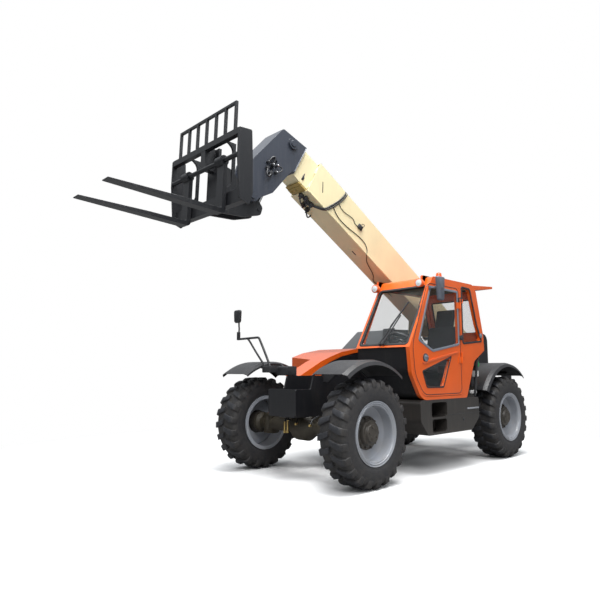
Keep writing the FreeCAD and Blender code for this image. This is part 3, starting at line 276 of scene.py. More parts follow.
tyre_low, tyre_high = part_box("tyre_front_left")
tyre_radius = (tyre_high.z - tyre_low.z) / 2
carcass_profile = [
    (-0.182, 0.348), (-0.183, 0.386), (-0.192, 0.394), (-0.196, 0.402), (-0.196, 0.412), (-0.203, 0.424),
    (-0.2045, 0.455),
    (-0.2045, 0.5), (-0.200, 0.54), (-0.188, 0.575), (-0.168, 0.598), (-0.135, 0.608), (-0.07, 0.612),
    (0.0, 0.613),
]
carcass_profile += [(-y, r) for y, r in reversed(carcass_profile[:-1])]
carcass = turned("carcass", [(0, y, r) for y, r in carcass_profile], (0, 0, 0), (0, 1, 0), 120)
smooth(carcass, 40)

lug_count = 22
lug_outline = [(-0.068, 0.008), (0.004, 0.008), (0.03, 0.07), (0.056, 0.13), (0.072, 0.203), (-0.012, 0.203),
               (-0.03, 0.13),
               (-0.044, 0.07)]
lug = drawn_line("lug", [(x, y, 0.53) for x, y in lug_outline], closed=True)
bpy.ops.mesh.extrude_region_move(TRANSFORM_OT_translate={"value": (0, 0, tyre_radius - 0.534)})
bpy.ops.transform.resize(value=(0.9, 0.985, 1))
bpy.ops.mesh.select_all(action="SELECT")
bpy.ops.mesh.bisect(plane_co=(0, 0.2, 0.612), plane_no=(0, 0.62, 1), clear_outer=True, use_fill=True)
bpy.ops.mesh.select_all(action="SELECT")
bpy.ops.mesh.bisect(plane_co=(0, 0.203, 0.56), plane_no=(0, 1, 0.22), clear_outer=True, use_fill=True)
bpy.ops.mesh.select_all(action="SELECT")
bpy.ops.mesh.normals_make_consistent(inside=False)
bpy.ops.object.mode_set(mode="OBJECT")
lug = bevelled(lug, 0.007, 2, 28)
smooth(lug, 50)
lugs = [carcass]
for place in range(lug_count):
    turn = Matrix.Rotation(math.tau * place / lug_count, 4, "Y")
    lugs.append(copy_of(lug, "lug near", turn))
    stagger = Matrix.Rotation(math.tau * (place + 0.5) / lug_count, 4, "Y")
    other = copy_of(lug, "lug far", stagger @ Matrix.Scale(-1, 4, (0, 1, 0)))
    other.data.flip_normals()
    lugs.append(other)
bpy.data.objects.remove(lug)
tyre_pattern = joined("tyre pattern", lugs)


def rubber(name, centre):
    """Tyre rubber: dark lugs polished by use, and dust that stays between them and on the walls."""
    finish = Finish(name)
    middle = finish.node("ShaderNodeVectorMath", {"operation": "SUBTRACT"}, {0: finish.place, 1: tuple(centre)})
    flat = finish.node("ShaderNodeVectorMath", {"operation": "MULTIPLY"}, {0: middle, 1: (1, 0, 1)})
    radius = finish.node("ShaderNodeVectorMath", {"operation": "LENGTH"}, {0: flat}, out="Value")
    wall = 1 - radius.over(0.43, 0.6)
    tread = radius.over(0.618, 0.64)
    speckle = finish.noise(14.0, 8, 0.7)
    dusty = finish.mix(speckle.over(0.35, 0.7), (0.019, 0.019, 0.022), (0.050, 0.045, 0.040))
    clean = finish.mix(speckle.over(0.3, 0.8), (0.015, 0.016, 0.020), (0.034, 0.035, 0.041))
    shade = finish.mix(tread, dusty, clean)
    shade = finish.mix(wall * 0.5, shade, (0.03, 0.03, 0.034))
    rough = finish.noise(60.0, 3) * 0.2 + 0.52 - tread * 0.08
    rings = (radius * 300.0).maths("SINE") * wall * 0.4
    return finish.feed(shade, rough, finish.noise(160.0, 5, 0.6) + rings, 0.0012)


wheel_places = {"fl": "front_left", "fr": "front_right", "rl": "rear_left", "rr": "rear_right"}
for short, place in wheel_places.items():
    low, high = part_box("tyre_" + place)
    centre = (low + high) / 2
    tyre = copy_of(tyre_pattern, "tyre dressed " + short, Matrix.Translation(centre))
    tyre.name = "tyre_dressed_" + short
    finished(tyre, rubber("tyre rubber " + short, centre), "wheel_" + short, "tyre", "tyre_" + place)
bpy.data.objects.remove(tyre_pattern)


# --- Wheels -----------------------------------------------------------------------------------
# Pressed and rolled steel rims in silver-grey paint, with stepped flange rings and a deep dish.
# The planetary hub stands in the dish, cast and painted brown-grey, ringed by its wheel nuts.
rim_profile = [
    (-0.197, 0.334), (-0.197, 0.382), (-0.185, 0.383), (-0.185, 0.345), (0.181, 0.345), (0.183, 0.382),
    (0.1965, 0.3825),
    (0.197, 0.374), (0.19, 0.368), (0.1865, 0.362), (0.1935, 0.357), (0.194, 0.351), (0.187, 0.344),
    (0.18, 0.340),
    (0.183, 0.334), (0.181, 0.327), (0.17, 0.322), (0.14, 0.325), (0.09, 0.327), (0.05, 0.318), (0.035, 0.296),
    (0.033, 0.24), (0.033, 0.165), (0.012, 0.165), (0.012, 0.296), (0.03, 0.325), (0.06, 0.334),
    (-0.197, 0.334),
]
hub_profile = [
    (-0.088, 0.062), (-0.088, 0.149), (0.034, 0.149), (0.034, 0.2), (0.045, 0.2), (0.052, 0.193),
    (0.054, 0.168),
    (0.062, 0.158), (0.1, 0.152), (0.108, 0.146), (0.11, 0.118), (0.116, 0.112), (0.136, 0.108), (0.142, 0.102),
    (0.143, 0.05), (0.139, 0.046), (0.139, 0.0002),
]


def hexagon_head(name, radius, height, centre, points_along="Y"):
    """A hexagon bolt head with a turned chamfer."""
    clear_selection()
    turn = {"Y": (math.pi / 2, 0, 0), "X": (0, math.pi / 2, 0), "Z": (0, 0, 0)}[points_along]
    bpy.ops.mesh.primitive_cylinder_add(vertices=6, radius=radius, depth=height, location=centre, rotation=turn)
    head = bpy.context.object
    head.name = name
    return bevelled(head, radius * 0.14, 1, 50)


rim_pattern = turned("rim", [(0, y, r) for y, r in rim_profile], (0, 0, 0), (0, 1, 0), 112)
smooth(rim_pattern, 38)
hub_pattern = turned("hub", [(0, y, r) for y, r in hub_profile], (0, 0, 0), (0, 1, 0), 72)
smooth(hub_pattern, 35)
nuts = [hub_pattern]
for step in range(12):
    turn = math.tau * (step + 0.5) / 12
    nuts.append(hexagon_head("wheel nut", 0.014, 0.022, (0.18 * math.sin(turn), 0.062, 0.18 * math.cos(turn))))
for step in range(5):
    turn = math.tau * (step + 0.2) / 5
    nuts.append(hexagon_head("cover bolt", 0.0105, 0.012, (0.072 * math.sin(turn), 0.148,
                                                           0.072 * math.cos(turn))))
for step in range(3):
    turn = math.tau * step / 3 + 0.5
    clear_selection()
    bpy.ops.mesh.primitive_cylinder_add(vertices=24, radius=0.034, depth=0.04, rotation=(math.pi / 2, 0, 0),
                                        location=(
        0.113 * math.sin(turn), 0.096, 0.113 * math.cos(turn)))
    nuts.append(bevelled(bpy.context.object, 0.006, 2))
hub_pattern = joined("hub", nuts)
clear_selection()
bpy.ops.mesh.primitive_cylinder_add(vertices=16, radius=0.006, depth=0.06, rotation=(1.25, 0, 0), location=(
    0.09, 0.085, -0.29))
valve_pattern = bevelled(bpy.context.object, 0.0015, 2)

silver_rim = painted("silver grey wheel paint", (0.33, 0.35, 0.39), 0.28, 0.4, (0.3, 0.27, 0.23), 1.2, 0.0)
hub_paint = painted("brown grey hub paint", (0.05, 0.043, 0.034), 0.45, 0.1, (0.2, 0.17, 0.14), 0.9, 0.0)
brass = Finish("brass fitting", metallic=1.0)
brass_metal = brass.feed(brass.mix(brass.noise(40.0, 3), (0.6, 0.42, 0.14), (0.8, 0.6, 0.25)), 0.3)
for short, place in wheel_places.items():
    low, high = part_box("tyre_" + place)
    facing = Matrix() if short[1] == "l" else Matrix.Scale(-1, 4, (0, 1, 0))
    move = Matrix.Translation((low + high) / 2) @ facing
    pieces = []
    for pattern, title in ((rim_pattern, "rim_"), (hub_pattern, "hub_"), (valve_pattern, "valve_")):
        made = copy_of(pattern, title + short, move)
        if short[1] == "r":
            made.data.flip_normals()
        pieces.append(made)
    finished(pieces[0], silver_rim, "wheel_" + short, "rim", "wheel_" + place)
    finished(pieces[1], hub_paint, "wheel_" + short, "axle")
    finished(pieces[2], brass_metal, "wheel_" + short, "rim")
for pattern in (rim_pattern, hub_pattern, valve_pattern):
    bpy.data.objects.remove(pattern)


# --- Mudguards --------------------------------------------------------------------------------
# Thick moulded plastic, charcoal and matt, with a fine grain.


def moulded(name, colour, roughness=0.55, grain=0.0004):
    """Moulded plastic with a leather-like grain and light scuffs."""
    finish = Finish(name)
    cloud = finish.noise(3.0, 6, 0.6)
    pale = tuple(min(1, channel * 1.7 + 0.01) for channel in colour)
    shade = finish.mix(cloud.over(0.35, 0.75), colour, pale)
    rough = finish.noise(25.0, 4) * 0.2 + (roughness - 0.1)
    return finish.feed(shade, rough, finish.noise(550.0, 3, 0.7), grain, 0.005)


charcoal_plastic = moulded("charcoal moulded plastic", (0.018, 0.018, 0.020), 0.42)
dress([name for name in node if name.endswith("fenders")], charcoal_plastic)


# --- Cab shell, door and hood -----------------------------------------------------------------
# Pressed steel and moulded panels in gloss orange. The door hangs on two hinges behind it, and
# black rubber or grey aluminium trim is pressed round every window.
orange = painted("gloss orange paint", (0.86, 0.125, 0.010), 0.24, 0.6, (0.45, 0.2, 0.1), 0.7, 0.006)
dress(("cab_frame", "door_frame", "engine_hood"), orange)

left_low, left_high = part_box("tyre_front_left")
right_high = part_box("tyre_front_right")[1]
axle_ahead = 0.8
datum = Vector(((left_low.x + left_high.x) / 2 - axle_ahead, (left_low.y + right_high.y) / 2, left_low.z))
cab_side = 1.176
planes = {
    "side": lambda along, up, across: Vector((along, across, up)),
    "front": lambda across, up, along: Vector((along, across, up)),
    "top": lambda along, across, up: Vector((along, across, up)),
}


def cut_plate(name, outline, plane, low, high, corner=0.0, rounding=0.002, hole=0.0, place=None):
    """A plate cut to an outline between two levels, its corners and edges rounded, or a frame of that shape."""
    put = planes[plane]
    made = drawn_line(name, [put(a, b, low) for a, b in outline], closed=True)
    if corner:
        bpy.ops.mesh.select_all(action="SELECT")
        bpy.ops.mesh.bevel(offset=corner, segments=5, affect="VERTICES")
    bpy.ops.mesh.select_all(action="SELECT")
    if hole:
        bpy.ops.mesh.inset(thickness=hole, depth=0)
        bpy.ops.mesh.delete(type="FACE")
        bpy.ops.mesh.select_all(action="SELECT")
    bpy.ops.mesh.extrude_region_move(TRANSFORM_OT_translate={"value": put(0, 0, high - low)})
    bpy.ops.mesh.select_all(action="SELECT")
    bpy.ops.mesh.normals_make_consistent(inside=False)
    bpy.ops.object.mode_set(mode="OBJECT")
    made.data.transform(place or Matrix.Translation(datum))
    made = bevelled(made, rounding, 2, 40)
    smooth(made, 35)
    return made


def round_bar(name, centre, radius, length, plane="side", rounding=0.004, place=None, vertices=32):
    """A turned bar or disc that stands across a plane."""
    clear_selection()
    turn = {"side": (math.pi / 2, 0, 0), "front": (0, math.pi / 2, 0), "top": (0, 0, 0)}[plane]
    bpy.ops.mesh.primitive_cylinder_add(vertices=vertices, radius=radius, depth=length, rotation=turn,
                                        location=centre)
    made = bpy.context.object
    made.name = made.data.name = name
    settle(made)
    made.data.transform(place or Matrix.Translation(datum))
    made = bevelled(made, rounding, 3, 40)
    smooth(made, 35)
    return made


def bent_tube(name, points, radius, place=None, sides=3):
    """A tube or hose along a smooth line through its bends, its ends closed."""
    line = drawn_line(name, points)
    bpy.ops.object.mode_set(mode="OBJECT")
    clear_selection()
    line.select_set(True)
    bpy.context.view_layer.objects.active = line
    bpy.ops.object.convert(target="CURVE")
    made = bpy.context.object
    run = made.data.splines[0]
    run.type = "NURBS"
    run.use_endpoint_u = True
    run.order_u = 3
    run.resolution_u = 6
    made.data.bevel_depth, made.data.bevel_resolution = radius, sides
    made.data.use_fill_caps = True
    settle(made)
    made.name = made.data.name = name
    made.data.transform(place or Matrix.Translation(datum))
    smooth(made, 50)
    return made


def block(name, low, high, rounding=0.004, place=None):
    """A solid bar between two corners, its edges rounded."""
    outline = [(low[0], low[2]), (high[0], low[2]), (high[0], high[2]), (low[0], high[2])]
    return cut_plate(name, outline, "side", low[1], high[1], 0.0, rounding, 0.0, place)


rubber_seal = moulded("black rubber seal", (0.016, 0.017, 0.019), 0.6)
window_trim = painted("blue grey window trim", (0.20, 0.225, 0.27), 0.42, 0.1, (0.3, 0.28, 0.25), 0.3)
door_window = [(-0.462, 2.563), (-0.142, 1.79), (-0.488, 1.640), (-1.205, 1.758), (-1.205, 2.563)]
finished(cut_plate("door_window_trim", door_window, "side", cab_side, 1.186, 0.035, 0.003, 0.034),
         window_trim, "door", "black_plastic")
low_window = [(-0.215, 1.386), (-0.975, 1.598), (-0.742, 1.152), (-0.318, 1.156)]
finished(cut_plate("door_low_window_seal", low_window, "side", 1.177, 1.185, 0.03, 0.002, 0.022), rubber_seal,
         "door", "black_plastic")
quarter_window = [(-1.292, 1.772), (-1.302, 2.648), (-1.575, 2.637), (-1.752, 2.09), (-1.888, 1.828)]
finished(cut_plate("quarter_window_seal", quarter_window, "side", cab_side, 1.185, 0.045, 0.002, 0.028),
         rubber_seal, "chassis", "black_plastic")
right_window = [(-0.048, 1.742), (-0.52, 2.618), (-1.69, 2.618), (-1.875, 1.93), (-1.875, 1.742)]
finished(cut_plate("right_window_seal", right_window, "side", 0.268, 0.28, 0.045, 0.003, 0.03), rubber_seal,
         "chassis", "black_plastic")
screen_slope = math.atan2(0.545 + 0.065, 1.01)
screen_place = Matrix.Translation(datum + Vector((0.065, 0, 1.7))) @ Matrix.Rotation(-screen_slope, 4, "Y")
screen_outline = [(0.31, 0.03), (1.145, 0.03), (1.145, 1.03), (0.31, 1.03)]
finished(cut_plate("windscreen_seal", screen_outline, "front", -0.03, 0.004, 0.05, 0.003, 0.034,
                   screen_place), rubber_seal, "chassis", "black_plastic")
rear_place = Matrix.Translation(datum + Vector((-1.936, 0, 1.93))) @ Matrix.Rotation(0.255, 4, "Y")
rear_outline = [(0.345, 0.03), (1.11, 0.03), (1.11, 0.6), (0.345, 0.6)]
finished(cut_plate("rear_window_seal", rear_outline, "front", -0.012, 0.008, 0.05, 0.003, 0.03, rear_place),
         rubber_seal, "chassis", "black_plastic")

# The door's pressed rib, its recessed lock, and the latches and hinges on the pillar.
door_lip = [(-0.40, 2.60), (-0.01, 1.745), (-0.052, 1.33), (-0.25, 1.062), (-1.232, 1.062), (-1.232, 2.60)]
finished(cut_plate("door_edge_seal", door_lip, "side", 1.1745, 1.1825, 0.09, 0.002, 0.010), rubber_seal,
         "door", "black_plastic")
rib = cut_plate("door_pressed_rib", [(-0.22, 1.50), (-1.12, 1.665), (-1.16, 1.645), (-0.26, 1.475)], "side",
                1.174, 1.190, 0.008, 0.006)
finished(rib, orange, "door", "orange_paint")
lock_ring = round_bar("door_lock_ring", (-0.307, 1.183, 1.557), 0.062, 0.014, "side", 0.006)
finished(lock_ring, rubber_seal, "door", "black_plastic")
lock_face = [round_bar("lock dish", (-0.307, 1.189, 1.557), 0.046, 0.008, "side", 0.003)]
lock_face.append(block("door_lock_pull", (-0.354, 1.19, 1.563), (-0.270, 1.204, 1.581), 0.005))
finished(joined("door_lock_pull", lock_face), window_trim, "door", "black_plastic")
for title, height in (("upper", 2.43), ("lower", 1.87)):
    hinge = [block("hinge leaf", (-1.30, 1.178, height - 0.03), (-1.2, 1.196, height + 0.03), 0.004)]
    hinge.append(round_bar("hinge knuckle", (-1.247, 1.198, height), 0.013, 0.075, "top", 0.003))
    finished(joined("door_stay_" + title, hinge), rubber_seal, "chassis", "black_plastic")
red_lens = Finish("red lens", coat=0.6)
red_lens.feed((0.55, 0.03, 0.015), 0.18)
quarter_clasp = round_bar("quarter_window_clasp", (-1.842, 1.188, 1.925), 0.034, 0.02, "side", 0.006)
finished(quarter_clasp, window_trim, "chassis", "black_plastic")

# A louvred steel guard over the front of the roof.
for number, across in enumerate((0.42, 0.56, 0.70, 0.84, 0.98)):
    bar = cut_plate(f"roof_rib_{number}", [(-0.72, 2.705), (-0.70, 2.716), (-1.56, 2.716), (-1.58, 2.705)],
                    "side",
                    across - 0.02, across + 0.02, 0, 0.003)
    finished(bar, orange, "chassis", "orange_paint")


# --- Cab glass --------------------------------------------------------------------------------
# Lightly tinted safety glass, bonded into its frames.
tinted = Finish("tinted glass")
tinted.shader.inputs["Alpha"].default_value = 0.12
tinted.shader.inputs["IOR"].default_value = 1.5
glass = tinted.feed(tinted.mix(tinted.noise(0.8, 2), (0.10, 0.115, 0.12), (0.14, 0.155, 0.16)), 0.04)
dress(("cab_glass", "door_glass"), glass)


# --- Seat, dashboard and controls -------------------------------------------------------------
# A sprung seat in grey woven cloth, black moulded trim round the controls, and a padded olive
# lining under the roof.
dark_trim = moulded("black moulded trim", (0.018, 0.019, 0.021), 0.5)
grey_trim = moulded("blue grey dashboard plastic", (0.075, 0.09, 0.105), 0.55, 0.0006)
dress(("steering_wheel", "wipers"), dark_trim)
dress(("dashboard",), grey_trim)
cloth = Finish("grey woven seat cloth")
weave = cloth.noise(900.0, 2) * 0.5 + cloth.noise(300.0, 2) * 0.5
seat_cloth = cloth.feed(cloth.mix(cloth.noise(5.0, 4), (0.05, 0.052, 0.058), (0.085, 0.088, 0.095)), 0.9,
                        weave, 0.0015)
dress(("seat",), seat_cloth)
lining_cloth = Finish("olive roof lining")
lining_pattern = lining_cloth.mix(lining_cloth.noise(4.0, 5), (0.11, 0.10, 0.055), (0.17, 0.155, 0.09))
lining_finish = lining_cloth.feed(lining_pattern, 0.9, lining_cloth.noise(420.0, 2), 0.001)
lining = cut_plate("roof_lining", [(-0.66, 2.60), (-0.64, 2.648), (-1.60, 2.648), (-1.62, 2.60)], "side",
                   0.34, 1.115, 0.02, 0.012)
finished(lining, lining_finish, "chassis", "black_plastic")
console = cut_plate("side_console", [(-1.15, 1.08), (-1.15, 1.62), (-0.62, 1.68), (-0.56, 1.56),
                                     (-0.75, 1.08)], "side", 0.36, 0.50, 0.05, 0.012)
finished(console, dark_trim, "chassis", "black_plastic")
lever = [bent_tube("joystick stem", [(-0.68, 0.43, 1.64), (-0.675, 0.43, 1.72), (-0.665, 0.435, 1.78)], 0.012)]
lever.append(cut_plate("joystick grip", [(-0.70, 1.75), (-0.64, 1.745), (-0.645, 1.90), (-0.69, 1.905)],
                       "side", 0.412, 0.458, 0.02, 0.012))
finished(joined("control_joystick", lever), dark_trim, "chassis", "black_plastic")
screen = [cut_plate("display case", [(-0.40, 1.83), (-0.375, 1.83), (-0.405, 2.0), (-0.43, 2.0)], "side",
                    0.40, 0.60, 0.008, 0.006)]
screen.append(bent_tube("display stalk", [(-0.40, 0.5, 1.84), (-0.39, 0.5, 1.78), (-0.36, 0.5, 1.7)], 0.011))
finished(joined("load_display", screen), dark_trim, "chassis", "black_plastic")


# --- Boom -------------------------------------------------------------------------------------
# Two box sections folded and welded from plate, in cream paint. The inner one slides on ochre pads,
# and hoses, a sensor cable and its box are clipped to the outer one.
cream = painted("cream boom paint", (0.86, 0.76, 0.47), 0.32, 0.4, (0.5, 0.4, 0.28), 0.7, 0.008)
dress(("boom_outer", "boom_inner"), cream)
pivot = Vector(joint["boom_lift"]["pos_m"])
boom_slope = math.radians(29.7)
cable_side, underside = 0.176, -0.335
on_boom = Matrix.Translation(pivot) @ Matrix.Rotation(-boom_slope, 4, "Y")
hose_rubber = moulded("black hose rubber", (0.02, 0.021, 0.024), 0.45, 0.0002)
seam_profile = [(0.2, -0.322), (0.2, -0.312), (4.7, -0.312), (4.7, -0.322)]
for title, across in (("left", 0.169), ("right", -0.178)):
    seam = cut_plate("boom_seam_" + title, seam_profile, "side", across, across + 0.009, 0, 0.003, 0, on_boom)
    finished(seam, cream, "boom_outer", "cream_paint")
for number in range(2):
    hose_line = [(4.10, -0.06, 0.214), (4.10, 0.10, 0.222), (4.11, 0.172, 0.216), (4.12, 0.181, 0.15),
                 (4.17, 0.181, -0.02),
                 (4.30, 0.181, -0.26), (4.36, 0.175, -0.345), (4.43, 0.10, -0.347), (4.52, 0.03, -0.348),
                 (4.60, 0.02, -0.36)]
    shift = number * 0.032
    hose = bent_tube(f"boom_hose_{number}", [(x - shift, y, z) for x, y, z in hose_line], 0.0105, on_boom)
    finished(hose, hose_rubber, "boom_outer", "black_plastic")
cable_line = [(4.17, 0.177, -0.02), (4.14, cable_side, -0.075), (4.0, cable_side, -0.09),
              (3.86, cable_side, -0.05), (3.78, cable_side, -0.04),
              (3.71, cable_side, -0.09), (3.66, cable_side, -0.07)]
finished(bent_tube("sensor_cable_upper", cable_line, 0.0045, on_boom), hose_rubber, "boom_outer",
         "black_plastic")
cable_line = [(4.24, 0.177, -0.16), (4.19, cable_side, -0.20), (4.07, cable_side, -0.249),
              (3.87, cable_side, -0.25), (3.58, cable_side, -0.193),
              (3.40, cable_side, -0.19), (3.30, cable_side, -0.25), (3.29, 0.175, -0.32),
              (3.24, 0.15, -0.336), (3.13, 0.06, underside),
              (2.82, -0.01, underside), (2.68, -0.13, underside), (2.60, -0.12, -0.336),
              (2.53, -0.06, underside), (2.2, -0.05, underside)]
finished(bent_tube("sensor_cable_lower", cable_line, 0.0055, on_boom), hose_rubber, "boom_outer",
         "black_plastic")
sensor = [block("sensor case", (3.57, 0.169, -0.09), (3.66, 0.20, -0.02), 0.006, on_boom)]
sensor.append(round_bar("sensor plug", (3.60, 0.21, -0.05), 0.014, 0.03, "side", 0.003, on_boom))
sensor.append(bent_tube("sensor tail", [(3.58, 0.20, -0.03), (3.55, 0.205, 0.01), (3.585, 0.2, 0.03),
                                        (3.615, 0.19, 0.0)], 0.005, on_boom))
finished(joined("boom_sensor", sensor), hose_rubber, "boom_outer", "black_plastic")
valves = []
for number, (along, across) in enumerate(((4.70, 0.03), (4.63, 0.06), (4.56, 0.03), (4.50, 0.05),
                                          (4.54, -0.06), (4.44, -0.08))):
    valves.append(block("valve", (along - 0.03, across - 0.028, -0.385),
                        (along + 0.03, across + 0.028, -0.326), 0.006, on_boom))
    valves.append(round_bar("valve port", (along, across, -0.395), 0.015, 0.04, "top", 0.003, on_boom, 12))
valves.append(bent_tube("valve hose", [(4.44, -0.08, -0.39), (4.40, -0.09, -0.43), (4.34, -0.12, -0.42),
                                       (4.30, -0.14, underside)], 0.011, on_boom))
valves.append(bent_tube("valve link", [(4.70, 0.03, -0.40), (4.66, 0.0, -0.42), (4.56, -0.04, -0.41),
                                       (4.54, -0.06, -0.40)], 0.010, on_boom))
finished(joined("boom_valves", valves), hose_rubber, "boom_outer", "black_plastic")
slot_cover = cut_plate("boom_side_slot", [(4.57, 0.0), (4.555, 0.004), (4.48, -0.143), (4.493, -0.15)],
                       "side", 0.1685, 0.1725, 0.006, 0.001, 0, on_boom)
finished(slot_cover, hose_rubber, "boom_outer", "black_plastic")
stop = [round_bar("stop boss", (4.86, 0.134, -0.20), 0.02, 0.02, "side", 0.004, on_boom)]
stop.append(cut_plate("stop strap", [(4.84, -0.23), (4.88, -0.24), (4.875, -0.13), (4.862, -0.12)], "side",
                      0.1305, 0.136, 0.004, 0.001, 0, on_boom))
finished(joined("boom_stop", stop), hose_rubber, "boom_inner", "black_plastic")
access = round_bar("boom_access_disc", (3.38, 0.0, -0.330), 0.115, 0.008, "top", 0.003, on_boom, 48)
finished(access, cream, "boom_outer", "cream_paint")
slit = block("boom_access_slit", (3.33, -0.012, -0.337), (3.43, 0.008, -0.333), 0.001, on_boom)
finished(slit, hose_rubber, "boom_outer", "black_plastic")
ochre = painted("ochre pad carrier", (0.42, 0.30, 0.09), 0.5, 0.0, (0.5, 0.4, 0.2), 0.2)
pads = []
for along, across, above, length in ((4.74, 0.0, -0.306, 0.10), (4.84, 0.0, -0.300, 0.05)):
    pads.append(block("pad", (along, across - 0.135, above - 0.022), (along + length, across + 0.135,
                                                                      above + 0.004), 0.004, on_boom))
for across in (-0.09, 0.0, 0.09):
    pads.append(hexagon_head("pad bolt", 0.014, 0.012, (4.79, across, -0.334), "Z"))
    pads[-1].data.transform(on_boom)
finished(joined("boom_wear_pads", pads), ochre, "boom_outer", "cream_paint")


# --- Boom head and fork carriage --------------------------------------------------------------
# Thick plate weldments in charcoal paint; the forks are forged.
charcoal = painted("charcoal blue paint", (0.036, 0.043, 0.060), 0.34, 0.2, (0.2, 0.19, 0.18), 0.5, 0.005)
dress(("boom_head",), charcoal)
carriage_paint = painted("carriage black paint", (0.010, 0.011, 0.014), 0.38, 0.12, (0.16, 0.15, 0.14), 0.5,
                         0.005)
dress(("carriage", "fork_left", "fork_right"), carriage_paint)
dress(("lift_cylinder_barrel", "levelling_cylinder_barrel", "tilt_cylinder_barrel"), charcoal)
polish = Finish("hard chrome", metallic=1.0)
chrome = polish.feed(polish.mix(polish.noise(3.0), (0.72, 0.73, 0.75), (0.85, 0.86, 0.88)),
                     polish.noise(50.0) * 0.08 + 0.08)
dress([name for name in node if name.endswith("_rod")], chrome)
for side, title in ((1, "left"), (-1, "right")):
    face = 0.179 * side
    pin = round_bar("tilt_pin_end_" + title, (5.269, face + 0.012 * side, 0.034), 0.034, 0.018, "side", 0.004,
                    on_boom)
    finished(pin, chrome, "boom_inner", "rod_chrome")
    ring = cut_plate("tilt_pin_ring_" + title,
                     [(5.269 + 0.066 * math.cos(t * math.tau / 32), 0.034 + 0.066 * math.sin(t * math.tau / 32))
                     for t in range(32)], "side", min(face, face + 0.016 * side),
                     max(face, face + 0.016 * side), 0, 0.003, 0.024, on_boom)
    finished(ring, charcoal, "boom_inner", "charcoal_paint")
    fittings = []
    for along, above, radius in ((5.47, -0.52, 0.018), (5.44, -0.60, 0.022), (5.39, -0.50, 0.024),
                                 (5.36, -0.62, 0.028), (5.30, -0.55, 0.022),
                                 (5.33, -0.46, 0.016)):
        fittings.append(round_bar("coupling", (along, face + 0.02 * side, above), radius, 0.045, "side",
                                  0.005, on_boom, 24))
    reach = face + 0.03 * side
    fittings.append(bent_tube("hose loop", [(5.47, reach, -0.52), (5.46, reach + 0.02 * side, -0.40),
                                            (5.40, reach + 0.02 * side, -0.42), (5.39, reach, -0.50)], 0.011,
                                            on_boom))
    fittings.append(bent_tube("hose drop", [(5.36, reach, -0.62), (5.37, reach + 0.02 * side, -0.72),
                                            (5.43, reach + 0.02 * side, -0.70), (5.44, reach, -0.60)], 0.011,
                                            on_boom))
    fittings.append(bent_tube("hose return", [(5.30, reach, -0.55), (5.24, reach + 0.015 * side, -0.50),
                                              (5.26, reach + 0.01 * side, -0.42), (5.33, reach, -0.46)],
                                              0.009, on_boom))
    finished(joined("head_couplings_" + title, fittings), hose_rubber, "boom_inner", "black_plastic")
    caps = []
    for along, above in ((5.30, -0.55), (5.33, -0.46), (5.39, -0.50)):
        caps.append(round_bar("cap", (along, face + 0.046 * side, above), 0.011, 0.012, "side", 0.003,
                              on_boom, 16))
    finished(joined("head_caps_" + title, caps), chrome, "boom_inner", "rod_chrome")
    # A thin silver-grey plate along each flange edge of the head is a painted highlight, not a part of its own.
    painted_highlight_strip = cut_plate("head_flange_edge_" + title, [(5.046, 0.17), (5.058, 0.17), (5.058, -0.27),
                                                    (5.046, -0.27)], "side",
                      min(face, face + 0.006 * side), max(face, face + 0.006 * side), 0, 0.002, 0, on_boom)
    finished(painted_highlight_strip, silver_rim, "boom_inner", "charcoal_paint")


# --- Engine and its rear cover ----------------------------------------------------------------
# A grey cast block under the orange hood, behind a fixed cover of grey sheet that is slotted for
# cooling air.
iron = painted("engine casting paint", (0.12, 0.125, 0.13), 0.55, 0.0, (0.2, 0.17, 0.14), 0.9)
dress(("engine",), iron)
grey_cover = painted("grey cover paint", (0.06, 0.063, 0.068), 0.42, 0.1, (0.3, 0.27, 0.23), 0.5)
dress(("engine_cover",), grey_cover)


# --- Steps, tank and service bay --------------------------------------------------------------
# A steel box step with two treads, the tank behind it, and an open bay that holds the filler,
# the washer bottle and the filters.
brown_steel = painted("brown grey step paint", (0.034, 0.030, 0.027), 0.42, 0.15, (0.16, 0.14, 0.11), 0.7)
dress(("step_tank",), brown_steel)
tank_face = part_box("step_tank")[1].y - datum.y
latch = block("tank_latch_bar", (-1.69, tank_face - 0.001, 0.829), (-1.35, tank_face + 0.010, 0.852), 0.004)
finished(latch, silver_rim, "chassis", "rim")
tank_lock = [round_bar("tank lock", (-1.244, tank_face + 0.003, 0.695), 0.021, 0.012, "side", 0.004)]
tank_lock.append(block("tank seam", (-1.74, tank_face - 0.002, 0.772), (-0.83, tank_face + 0.002, 0.778),
                       0.001))
finished(joined("tank_lock", tank_lock), dark_trim, "chassis", "black_plastic")
filler = [round_bar("filler cap", (-1.80, 1.12, 1.49), 0.042, 0.05, "side", 0.01)]
for step in range(6):
    turn = math.tau * step / 6
    filler.append(round_bar("cap grip", (-1.80 + 0.04 * math.cos(turn), 1.125, 1.49 + 0.04 * math.sin(turn)),
                            0.009, 0.045, "side", 0.003, None, 12))
green = Finish("green filler cap", coat=0.3)
green.feed((0.02, 0.30, 0.09), 0.35)
finished(joined("filler_cap", filler), green.material, "chassis", "black_plastic")
bottle = [cut_plate("bottle", [(-1.76, 1.29), (-1.86, 1.30), (-1.86, 1.39), (-1.77, 1.40)], "side", 1.05,
                    1.12, 0.015, 0.01)]
bottle.append(cut_plate("bottle foot", [(-1.66, 1.04), (-1.76, 1.04), (-1.765, 1.09), (-1.67, 1.095)], "side",
                        1.05, 1.125, 0.012, 0.008))
white_plastic = moulded("white bottle plastic", (0.62, 0.63, 0.62), 0.4)
finished(joined("washer_bottle", bottle), white_plastic, "chassis", "black_plastic")
bay = [round_bar("filter", (-1.79, 1.04, 1.20), 0.05, 0.19, "top", 0.012)]
bay.append(round_bar("filter top", (-1.79, 1.04, 1.31), 0.035, 0.04, "top", 0.008))
